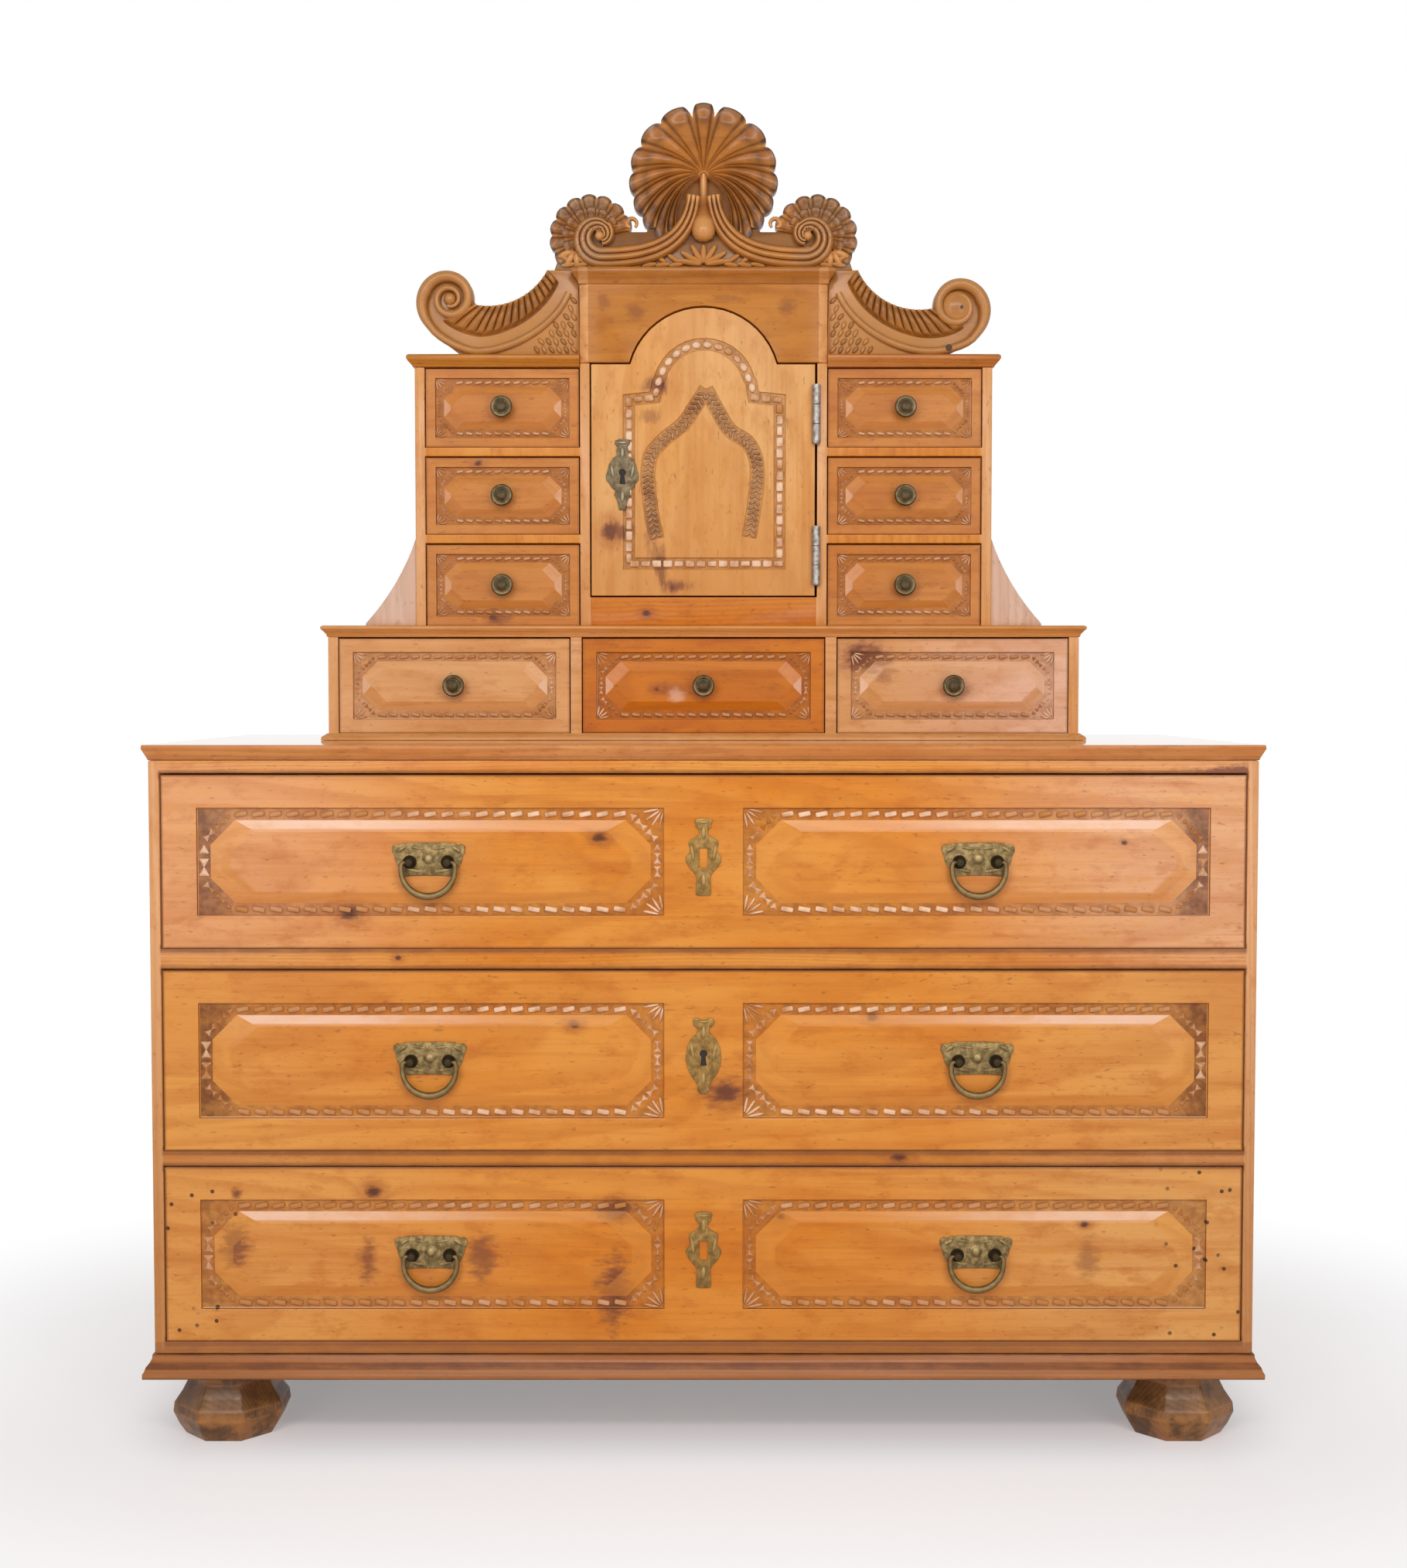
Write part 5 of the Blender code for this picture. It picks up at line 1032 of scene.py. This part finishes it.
def carveCrest():
    foot, front, back = crest["foot"], crest["front"], crest["back"]
    rise, radius = crest["shellRise"], crest["shellRadius"]
    leafX, leafR, eyeZ = crest["leafX"], crest["leafRadius"], foot + crest["leafRise"]
    halfFoot, waist, waistZ = crest["halfFoot"], crest["waist"], crest["waistRise"]
    half = [
        (0.30 * radius, foot + 1.08 * rise), (0.66 * radius, foot + 0.66 * rise),
        (0.82 * radius, foot + crest["notch"]), (leafX - leafR, foot + crest["notch"]),
        (leafX - 0.5 * leafR, eyeZ + 0.34 * leafR), (leafX + 0.5 * leafR, eyeZ + 0.2 * leafR),
        (halfFoot - 0.4 * waist, foot + 1.8 * waistZ), (halfFoot - waist, foot + waistZ), (halfFoot, foot),
    ]
    ground = sawnBoard("ground", mirrored(half), front + 0.004, back, 0.001)
    # the ground's front is darkened: painted shade, with dirt, in the hollow behind the carving
    parts = [setGrimeAndShade(ground, lambda place: 0.68 if place.y < front + 0.006 else 0.0)]
    sizes = (radius, crest["shellScallop"], 0.011, 0.0085, 0.002)
    parts.append(petalFan("shell", (0.0, foot + rise), lobeAngles(), sizes, (front - 0.001, back - 0.001),
                          bend=0.42, notch=0.012, shade=0.40))
    low, high = radians(crest["leafFrom"]), radians(crest["leafTo"])
    kinds = (("acanthus", crest["leafLobes"], 0.0, 1.0, 0.0, back - 0.002),
             ("innerLeaf", crest["innerLobes"], 0.2, 0.70, 0.0035, front + 0.006))  # ends inside the outer leaf
    fans = []
    for name, lobes, trim, size, lift, rear in kinds:
        ridges = [low + trim + (high - low - 2 * trim) * i / lobes for i in range(lobes + 1)]
        sizes = (leafR * size, crest["leafScallop"] * size, 0.006, 0.006, 0.002)
        fans.append((name, ridges, sizes, (front - 0.0005 - lift, rear)))
    line = scrollLine()
    last = len(line) - 1
    widths = [0.0062 + 0.0078 * sin(pi * min(1.0, 0.10 + 1.15 * i / last)) ** 0.8 if i < 0.78 * last
              else 0.0062 + 0.0030 * (last - i) / (0.22 * last) for i in range(last + 1)]
    curlX, curlRise = crest["curlAt"]
    curl = arc((curlX, foot + curlRise), crest["curlRadius"], radians(-70), radians(230), 12)
    for side in (-1, 1):
        for name, ridges, sizes, depths in fans:
            angles = [pi - angle for angle in reversed(ridges)] if side > 0 else ridges
            parts.append(petalFan(name, (side * leafX, eyeZ), angles, sizes, depths, inner=0.25))
        parts.append(flutedBand(line, side, front + 0.001, front + 0.006, widths))
        parts.append(rod("curl", [(side * x, front + 0.005, z) for x, z in curl],
                         [0.0044 - 0.0002 * i for i in range(len(curl))]))
        parts.append(turned("eye", crest["eye"], (side * (leafX - crest["eyeIn"]), front + 0.001, eyeZ), 20))
    dropFoot = foot + crest["dropRise"]
    drop = turned("drop", crest["drop"], (0, front - 0.003, dropFoot), 24, (0, 0, 1))
    parts.append(setGrimeAndShade(drop, lambda place: -1.0 if place.z < dropFoot + 0.030 else 0.0))
    leaves = []
    for turn, length in crest["spray"]:  # a spray under the drop
        angle, out = radians(turn), 0.55 * length
        leaves.append(onFront(out * cos(angle), front - 0.0005, foot + 0.006 + out * sin(angle), angle,
                              (length, 0.011, 0.0082)))
    for side in (-1, 1):
        for i in range(crest["sprigs"]):  # sprigs along the foot out to the ends
            x = 0.036 + 0.0178 * i
            for lean, aside, up in crest["sprigLeaves"]:
                turn = radians(lean if side > 0 else 180 - lean)
                leaves.append(onFront(side * (x + aside), front + 0.001, foot + up, turn, (0.0205, 0.009, 0.0068)))
        for turn, length in crest["tips"]:  # tips hanging from the leaf to the wing
            angle, out = radians(turn if side > 0 else 180 - turn), 0.6 * length
            leaves.append(onFront(side * (leafX + 0.021) + out * cos(angle), front + 0.001,
                                  eyeZ - 0.016 + out * sin(angle), angle, (length, 0.011, 0.0095)))
    return smooth(join("crest_carving", parts + stamp(leaf, leaves)), 50)


finishPiece(carveCrest(), "crest", "carved_pine", carvedPine("carved_pine_crest", 61.0, greyFrom=0.125))
print("crest done")


# Scrolled wings

wing = {
    "front": -0.02315, "thick": 0.022, "foot": 1.3697, "post": 0.1633, "corniceReach": 0.01, "corniceFoot": 1.4611,
    "corniceRise": 0.021, "top": 1.4821, "voluteX": 0.3346, "voluteR": 0.0305, "growth": 1.2, "turnOut": 1.3 * pi,
    "sweepX": 0.2842, "sweepRise": 0.154, "sweepR": 0.0889, "footX": 0.318, "bead": 0.0046, "ribs": 15,
    "ribDepth": 0.0032, "rise": 0.074, "spiralSteps": 90, "chipRows": 7, "chip": (0.0118, 0.0072, 0.006),
}
wingSides = {  # side, rise of the volute, where its spiral begins, radius of its eye
    "wing_left": (-1, 0.074, -2.6 * pi, 0.0085), "wing_right": (1, 0.064, -2.0 * pi, 0.0215),
}
cornice = [(0.0, 0.15), (0.15, 0.22), (0.35, 0.42), (0.55, 0.80), (0.70, 1.0), (0.90, 1.0), (1.0, 0.8)]
shadowDiscs = [  # dark discs painted as shadow under the right volute and in its ball: offsets, depth and radius
    (-0.0115, -0.0545, 0.0092, 0.0042), (0.005, -0.002, 0.011, 0.0022),
]


def voluteRadius(angle):
    return wing["voluteR"] * wing["growth"] ** (angle / (pi / 2))


def volutePoint(centre, angle, inset=0.0):
    radius = voluteRadius(angle) - inset
    return (centre[0] - radius * cos(angle), centre[1] + radius * sin(angle))


def atShare(line, share):
    spot = min(max(share, 0.0), 1.0) * (len(line) - 1)
    i = min(int(spot), len(line) - 2)
    return tuple(line[i][k] + (line[i + 1][k] - line[i][k]) * (spot - i) for k in (0, 1))


def carveWing(name, side, rise, inner, eyeR):
    foot, front, post, bead = wing["foot"], wing["front"], wing["post"], wing["bead"]
    turnOut, sweepR, steps = wing["turnOut"], wing["sweepR"], wing["spiralSteps"]
    centre = (wing["voluteX"], foot + rise)
    sweep = (wing["sweepX"], foot + wing["sweepRise"] + (rise - wing["rise"]) / 2)
    start = -pi + asin((sweep[1] - wing["top"]) / sweepR)
    end = -pi / 2 + asin((volutePoint(centre, 0.0)[0] - sweep[0]) / sweepR)
    outline = [(post, foot)]
    outline += [(post + 0.0003 + out * wing["corniceReach"], wing["corniceFoot"] + share * wing["corniceRise"])
                for share, out in cornice]
    outline += arc(sweep, sweepR, start, end, 28)[:-1]
    outline += [volutePoint(centre, turnOut * i / 40) for i in range(41)]
    outline.append((wing["footX"], foot))
    parts = [sawnBoard("wingBoard", [(side * x, z) for x, z in outline], front + 0.002, front + wing["thick"],
                       0.0008, clamp=False)]
    tail = volutePoint(centre, turnOut, bead)
    low = (wing["footX"] - 4 * bead, foot + 1.2 * bead)
    head = (post + wing["corniceReach"] + bead, wing["corniceFoot"] - 2 * bead)
    lower = bezier(tail, (tail[0] - 3 * bead, tail[1] - 4 * bead), (low[0] + 3 * bead, low[1]), low, 8)
    climb = bezier(low, (low[0] - sweepR / 2, low[1]), (head[0] + 4 * bead, head[1] - sweepR / 2), head, 18)
    bottomLine = (lower + climb[1:])[::-1]
    topLine = arc(sweep, sweepR, start, end, 40)

    def band(u, v):  # ribs above, then a smooth cove down to the bead
        a, b = atShare(topLine, u), atShare(bottomLine, u ** 1.15)
        rib = abs(sin(pi * wing["ribs"] * u)) ** 0.7
        ends = 0.40 + 0.22 * u  # the ribs grow longer towards the volute
        window = 1.0 if v < ends else max(0.0, 1 - (v - ends) / 0.06)
        out = wing["ribDepth"] * rib * window
        rolled = min(1.0, v / (ends + 0.06))
        out += 0.0040 * sin(pi * rolled) if rolled < 1 else 0.0
        under = (v - ends - 0.06) / (0.94 - ends)
        out -= 0.0045 * sin(pi * under) if under > 0 else 0.0
        # painted shade between the ribs and along the top of the cove beneath them
        dirtAndShade = window * max(0.0, 1 - 2.2 * rib) * 0.7 + 0.5 * exp(-((under - 0.02) / 0.06) ** 2)
        return (side * (a[0] + (b[0] - a[0]) * v), front - out, a[1] + (b[1] - a[1]) * v), min(1.0, dirtAndShade)

    parts.append(carvedSheet("ribbedBand", wing["ribs"] * 10, 22, band, front + 0.010))
    path, radii = [], []
    for i in range(steps + 1):
        angle = inner + (turnOut - inner) * i / steps
        tube = 0.20 * voluteRadius(angle)
        if angle >= 0.9 * pi:
            tube += (bead * 1.15 - tube) * (angle / pi - 0.9) / 0.4
        path.append(volutePoint(centre, angle, tube))
        radii.append(tube)
    path += lower[1:] + climb[1:]
    radii += [bead * 1.15] * (len(lower) - 1) + [bead * (1.15 - 0.25 * i / len(climb)) for i in range(len(climb) - 1)]
    lift = [front - 0.004 + 0.004 * min(1.0, max(0, i - steps) / 20) for i in range(len(path))]
    parts.append(rod("bead", [(side * x, y, z) for (x, z), y in zip(path, lift)], radii))
    eye = [(0.0, 0.01), (0.45 * eyeR, 0.0088), (0.80 * eyeR, 0.0055), (eyeR, 0.0), (eyeR, -0.006), (0.0, -0.006)]
    parts.append(turned("eye", eye, (side * centre[0], front - 0.001, centre[1]), 24))
    # dark discs that stand in for shadow in a gap and a hollow
    for dx, dz, depth, size in shadowDiscs if side > 0 else ():
        profile = [(0.0, 0.0004), (size, 0.0004), (size, -0.004), (0.0, -0.004)]
        peg = turned("peg", profile, (centre[0] + dx, front - depth, centre[1] + dz), 16)
        parts.append(setGrimeAndShade(peg, lambda place: 1.0))
    sprays = []
    for row in range(wing["chipRows"]):  # leafy chips fill the corner by the post
        z = foot + 0.008 + 0.0108 * row
        for i in range(max(1, 6 - row)):
            x = post + 0.008 + 0.0098 * i + (0.004 if row % 2 else 0.0)
            turn = radians(58 + 9 * ((row + 2 * i) % 3 - 1))
            sprays.append(onFront(side * x, front + 0.0014, z, turn if side > 0 else pi - turn, wing["chip"]))
    for i, chip in enumerate(stamp(leaf, sprays)):  # grimy and rubbed by turns
        parts.append(setGrimeAndShade(chip, lambda place: 0.40 if i % 2 else -0.25))
    return smooth(join(name, parts), 50)


for node, (side, *shape) in wingSides.items():
    finish = carvedPine("carved_pine_" + node, 64.0 + side, depth=0.84)
    finishPiece(carveWing("carving_" + node, side, *shape), node, "carved_pine", finish)
print("wings done")


# Brass pulls, knobs, escutcheons and steel hinges

pull = {
    "halfWidth": 0.0443, "top": 0.0235, "foot": 0.0176, "halfFoot": 0.0335, "thick": 0.002, "posts": 0.046,
    "postR": 0.0048, "standoff": 0.008, "bailWidth": 0.074, "bailDrop": 0.0455, "wire": 0.0044, "shank": 0.003,
    "pin": 0.0019, "places": (("left", -0.3323), ("right", 0.3323)), "ringSteps": 28,
    "collar": [(0.0, -0.0005), (0.0082, -0.0005), (0.0084, 0.001), (0.0074, 0.0022), (0.006, 0.0014), (0.0044, 0.001),
               (0.0042, 0.008), (0.0046, 0.0105), (0.004, 0.0122), (0.002, 0.013), (0.0, 0.0132)],
    "boss": [(0.0, -0.0005), (0.0075, -0.0005), (0.0078, 0.0008), (0.0062, 0.0018), (0.005, 0.003), (0.003, 0.0044),
             (0.0, 0.0048)],
}


def bailPlate(name, x, y, z):
    w, t, b, f = pull["halfWidth"], pull["top"], pull["foot"], pull["halfFoot"]
    half = [(0.30 * w, t), (0.70 * w, 0.97 * t), (0.80 * w, 0.86 * t), (0.90 * w, 0.93 * t), (0.99 * w, 0.80 * t),
            (w, 0.58 * t), (0.93 * w, 0.30 * t), (0.90 * w, 0.02 * t), (0.84 * w, -0.30 * b), (0.78 * w, -0.55 * b),
            (f, -0.72 * b), (f * 0.98, -b), (0.30 * w, -0.93 * b)]
    front = y - pull["thick"]
    parts = [sawnBoard(name, [(x + dx, z + dz) for dx, dz in mirrored(half)], front, y, 0.0007, clamp=False)]
    for side in (-1, 1):
        post = turned("collar", pull["collar"], (x + side * pull["posts"] / 2, front, z), 20)
        parts.append(setGrimeAndShade(post, lambda place: 1.0 if place.y < front - 0.0004 else 0.4))
    parts.append(turned("boss", pull["boss"], (x, front, z + 0.20 * t), 20))
    swags = ((0.0175, -0.58 * b, 10, (0.020, 0.0026, 0.0045)), (0.0335, 0.66 * t, -32, (0.014, 0.003, 0.0055)),
             (0.0130, 0.72 * t, 8, (0.018, 0.0024, 0.004)))
    parts += stamp(leaf, [onFront(x + side * out, front - 0.0002, z + rise, side * radians(lean), size)
                          for out, rise, lean, size in swags for side in (-1, 1)])
    return smooth(join(name, parts), 40)


def bailRing(name, x, y, z):
    face = pull["posts"] / 2 + pull["postR"]
    reach = pull["bailWidth"] / 2 - pull["wire"]
    ringZ = pull["bailWidth"] / 2 - pull["bailDrop"]
    pin, shank, steps = pull["pin"], pull["shank"], pull["ringSteps"]
    half = [(face - 0.005, 0.0), (face + 0.0006, 0.0), ((face + reach) / 2, 0.0), (reach - 0.0008, ringZ * 0.22),
            (reach, ringZ * 0.6)]
    radii = [pin, pin, 0.0026, 0.0030, shank]
    path = half + arc((0.0, ringZ), reach, 0.0, -pi, steps) + [(-dx, dz) for dx, dz in reversed(half)]
    swell = [shank + (pull["wire"] - shank) * sin(pi * i / steps) ** 1.5 for i in range(steps + 1)]
    return smooth(rod(name, [(x + dx, y, z + dz) for dx, dz in path], radii + swell + radii[::-1]), 60)


brassPlate = agedBrass("aged_brass_plates", -0.2824, 0.008)
brassBail = agedBrass("aged_brass_bails", -0.2824, 0.016, "bail")
for level in ("bottom", "middle", "top"):
    lo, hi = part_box("drawer_large_" + level)
    z, y = (lo.z + hi.z) / 2, lo.y - 0.0003
    for side, x in pull["places"]:
        place = level + "_" + side
        finishPiece(bailPlate("backplate_" + place, x, y, z), "bail_plate_" + place, "brass", brassPlate)
        ring = bailRing("ring_" + place, x, y - pull["thick"] - pull["standoff"], z)
        finishPiece(ring, "bail_" + place, "brass", brassBail)

knobProfile = [
    (0.0, 0.0), (0.0105, 0.0), (0.0107, 0.0012), (0.0085, 0.0026), (0.0058, 0.0045), (0.0052, 0.008), (0.008, 0.0104),
    (0.0132, 0.0122), (0.0145, 0.0144), (0.0142, 0.0168), (0.0126, 0.0184), (0.0106, 0.0181), (0.009, 0.017),
    (0.0074, 0.0176), (0.0062, 0.0202), (0.0036, 0.0229), (0.0, 0.0238),
]
for node in named("knob_"):
    lo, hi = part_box(node)
    middle = (lo + hi) / 2
    dark = (middle.x, middle.z + 0.002)
    item = turned("turned_" + node, knobProfile, (middle.x, hi.y, middle.z), 28)
    setGrimeAndShade(item, lambda place: 0.9 * exp(-(dist((place.x, place.z), dark) / 0.0062) ** 2))
    finishPiece(smooth(item, 45), node, "brass", agedBrass("aged_brass_" + node, hi.y - 0.010, 0.014, "knob"))

escutcheons = {  # half outlines as shares of half width and half height
    "slot": [(0.18, 1.0), (0.46, 0.97), (0.50, 0.90), (0.40, 0.84), (0.46, 0.78), (0.26, 0.70), (0.22, 0.60),
             (0.42, 0.52), (0.80, 0.42), (0.84, 0.32), (0.74, 0.22), (0.80, 0.10), (1.0, 0.00), (0.98, -0.12),
             (0.80, -0.26), (0.60, -0.36), (0.44, -0.46), (0.36, -0.54), (0.40, -0.60), (0.42, -0.97), (0.30, -1.0)],
    "keyhole": [(0.12, 0.86), (0.24, 0.98), (0.46, 1.0), (0.60, 0.92), (0.56, 0.80), (0.38, 0.74), (0.30, 0.66),
                (0.44, 0.56), (0.74, 0.42), (0.94, 0.20), (1.0, -0.04), (0.94, -0.26), (0.76, -0.46), (0.54, -0.60),
                (0.40, -0.70), (0.30, -0.80), (0.36, -0.88), (0.20, -0.98)],
    "winged": [(0.20, 1.0), (0.44, 0.96), (0.46, 0.86), (0.30, 0.78), (0.38, 0.66), (0.34, 0.54), (0.60, 0.46),
               (0.82, 0.30), (0.90, 0.12), (1.0, 0.0), (0.98, -0.16), (0.80, -0.24), (0.66, -0.36), (0.42, -0.44),
               (0.50, -0.56), (0.36, -0.68), (0.26, -0.80), (0.20, -0.98)],
}
escutcheonKinds = {"top": "slot", "middle": "keyhole", "bottom": "slot", "door": "winged"}
plateLeaves = [  # offsets as shares of half width and half height, turn, size
    (-0.62, 0.10, -80, (0.02, 0.0026, 0.005)), (0.62, 0.10, 80, (0.02, 0.0026, 0.005)),
    (0.0, 0.62, 90, (0.016, 0.0028, 0.006)), (0.0, -0.60, 90, (0.016, 0.0028, 0.006)),
    (0.0, 0.90, 0, (0.014, 0.0026, 0.004)),
]


def oblong(middle, halfWide, down):
    corners = ((-1, -1), (1, -1), (1, 1), (-1, 1))
    return [(middle.x + dx * halfWide, middle.z - down + dz * 0.0118) for dx, dz in corners]


darkFinish = shadowed("keyhole_dark")
for place, kind in escutcheonKinds.items():
    node = "escutcheon_" + place
    lo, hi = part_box(node)
    middle, w, h = (lo + hi) / 2, (hi.x - lo.x) / 2, (hi.z - lo.z) / 2
    outline = [(middle.x + dx * w, middle.z + dz * h) for dx, dz in mirrored(escutcheons[kind])]
    piece = sawnBoard("plate_" + node, outline, lo.y, hi.y)
    opening = oblong(middle, 0.0052, 0.001)
    if kind != "slot":
        opening = arc((middle.x, middle.z + 0.003), 0.0046, radians(-60), radians(240), 14)
        opening += [(middle.x + dx, middle.z - 0.0118) for dx in (-0.0038, 0.0038)]
    cutAway(piece, sawnBoard("opening", opening, lo.y - 0.002, hi.y + 0.002))
    soften(piece, 0.0005, clamp=False)
    ornaments = [onFront(middle.x + dx * w, lo.y, middle.z + dz * h, radians(turn), size)
                 for dx, dz, turn, size in plateLeaves]
    smooth(join(piece.name, [piece] + stamp(leaf, ornaments)), 40)
    dress(piece, agedBrass("aged_brass_" + node, hi.y, 0.0032, "doorPlate" if kind == "winged" else "escutcheon"))
    if kind != "slot":
        # a dark sheet behind the opening stands in for the shade inside: painted shadow
        back = sawnBoard("dark", oblong(middle, 0.0062, 0.002), hi.y - 0.0004, hi.y - 0.0001)
        dress(back, darkFinish)
        join(piece.name, [piece, back])
    finishPiece(piece, node, "brass")

steel = wornSteel("worn_steel")
for node in named("hinge_"):
    finishPiece(cadCopy(node, "steel_" + node, 0.0002, 1, clamp=False), node, "steel", steel)
discard(rope, tooth, leaf)
print("brass and steel done")


# Floor, light and camera

studio = {
    "worldLight": 0.20, "worldColour": (1.0, 0.985, 0.97, 1), "floor": (0.92, 0.815, 0.825), "floorRadius": 6.0,
    "footprint": (0.60, 0.20), "clear": (0.12, 0.80), "lift": (0.27, 0.62), "aim": (0, 0, 0.8),
    "lamps": {  # place, width, height, power
        "left": ((-1.25, -2.60, 1.30), 1.0, 1.9, 18.5),
        "right": ((1.25, -2.60, 1.30), 1.0, 1.9, 17.5),
        "over": ((0.0, -2.65, 2.20), 2.4, 0.36, 31.0),
        "behind": ((0.0, 3.10, 1.70), 2.6, 1.4, 26.0),
    },
    "camera": (0.0, -2.783, 0.927), "tilt": 2.564, "lens": 47.57, "sensor": 36.0,
}


def studioFloor():
    bpy.ops.mesh.primitive_circle_add(vertices=96, radius=studio["floorRadius"], fill_type='NGON')
    floor = newest("studio_floor")
    f = Finish("studio_floor")
    outX, outY = [(abs(axis) - half).most(0.0) for axis, half in zip((f.x, f.y), studio["footprint"])]
    away = outX.distance(outY)  # from the chest's footprint
    f.colour = f.mix(f.noise(f.place, 1.4, 2.0), studio["floor"], tuple(c * 1.03 for c in studio["floor"]))
    f.put(0.55, SpecularIORLevel=0.25)
    white = f.node("ShaderNodeEmission", values={"Color": (1, 1, 1, 1), "Strength": 1.0})
    under, beside = studio["lift"]
    share = f.seen() * (away.ramp(0.0, 0.16, under, beside) + away.ramp(*studio["clear"], 0.0, 1.0 - beside))
    f.whiten(share, f.shader, white, "Material Output")
    dress(floor, f.data)


def studioWorld():
    book = NodeBook(bpy.data.worlds.new("studio"))
    bpy.context.scene.world = book.data
    plain = book.tree.nodes["Background"]
    book.feed(plain.inputs["Color"], studio["worldColour"])
    book.feed(plain.inputs["Strength"], studio["worldLight"])
    white = book.node("ShaderNodeBackground", values={"Color": (1, 1, 1, 1)})
    book.whiten(book.seen(), plain, white, "World Output")


def softLamp(name, place, width, height, power):
    bpy.ops.object.light_add(type='AREA', location=place)
    lamp = newest(name)
    lamp.data.shape = 'RECTANGLE'
    lamp.data.size, lamp.data.size_y, lamp.data.energy = width, height, power
    lamp.visible_camera, lamp.visible_glossy = False, place[1] < 0  # the lamp behind leaves no gloss on the front
    lamp.rotation_euler = (Vector(studio["aim"]) - Vector(place)).to_track_quat('-Z', 'Y').to_euler()


studioFloor()
studioWorld()
for name, lamp in studio["lamps"].items():
    softLamp(name, *lamp)
bpy.ops.object.camera_add(location=studio["camera"], rotation=(radians(90 - studio["tilt"]), 0, 0))
camera = bpy.context.object
camera.data.lens, camera.data.sensor_width = studio["lens"], studio["sensor"]
bpy.context.scene.camera = camera
bpy.context.scene.view_settings.view_transform = 'Standard'
print("studio done")
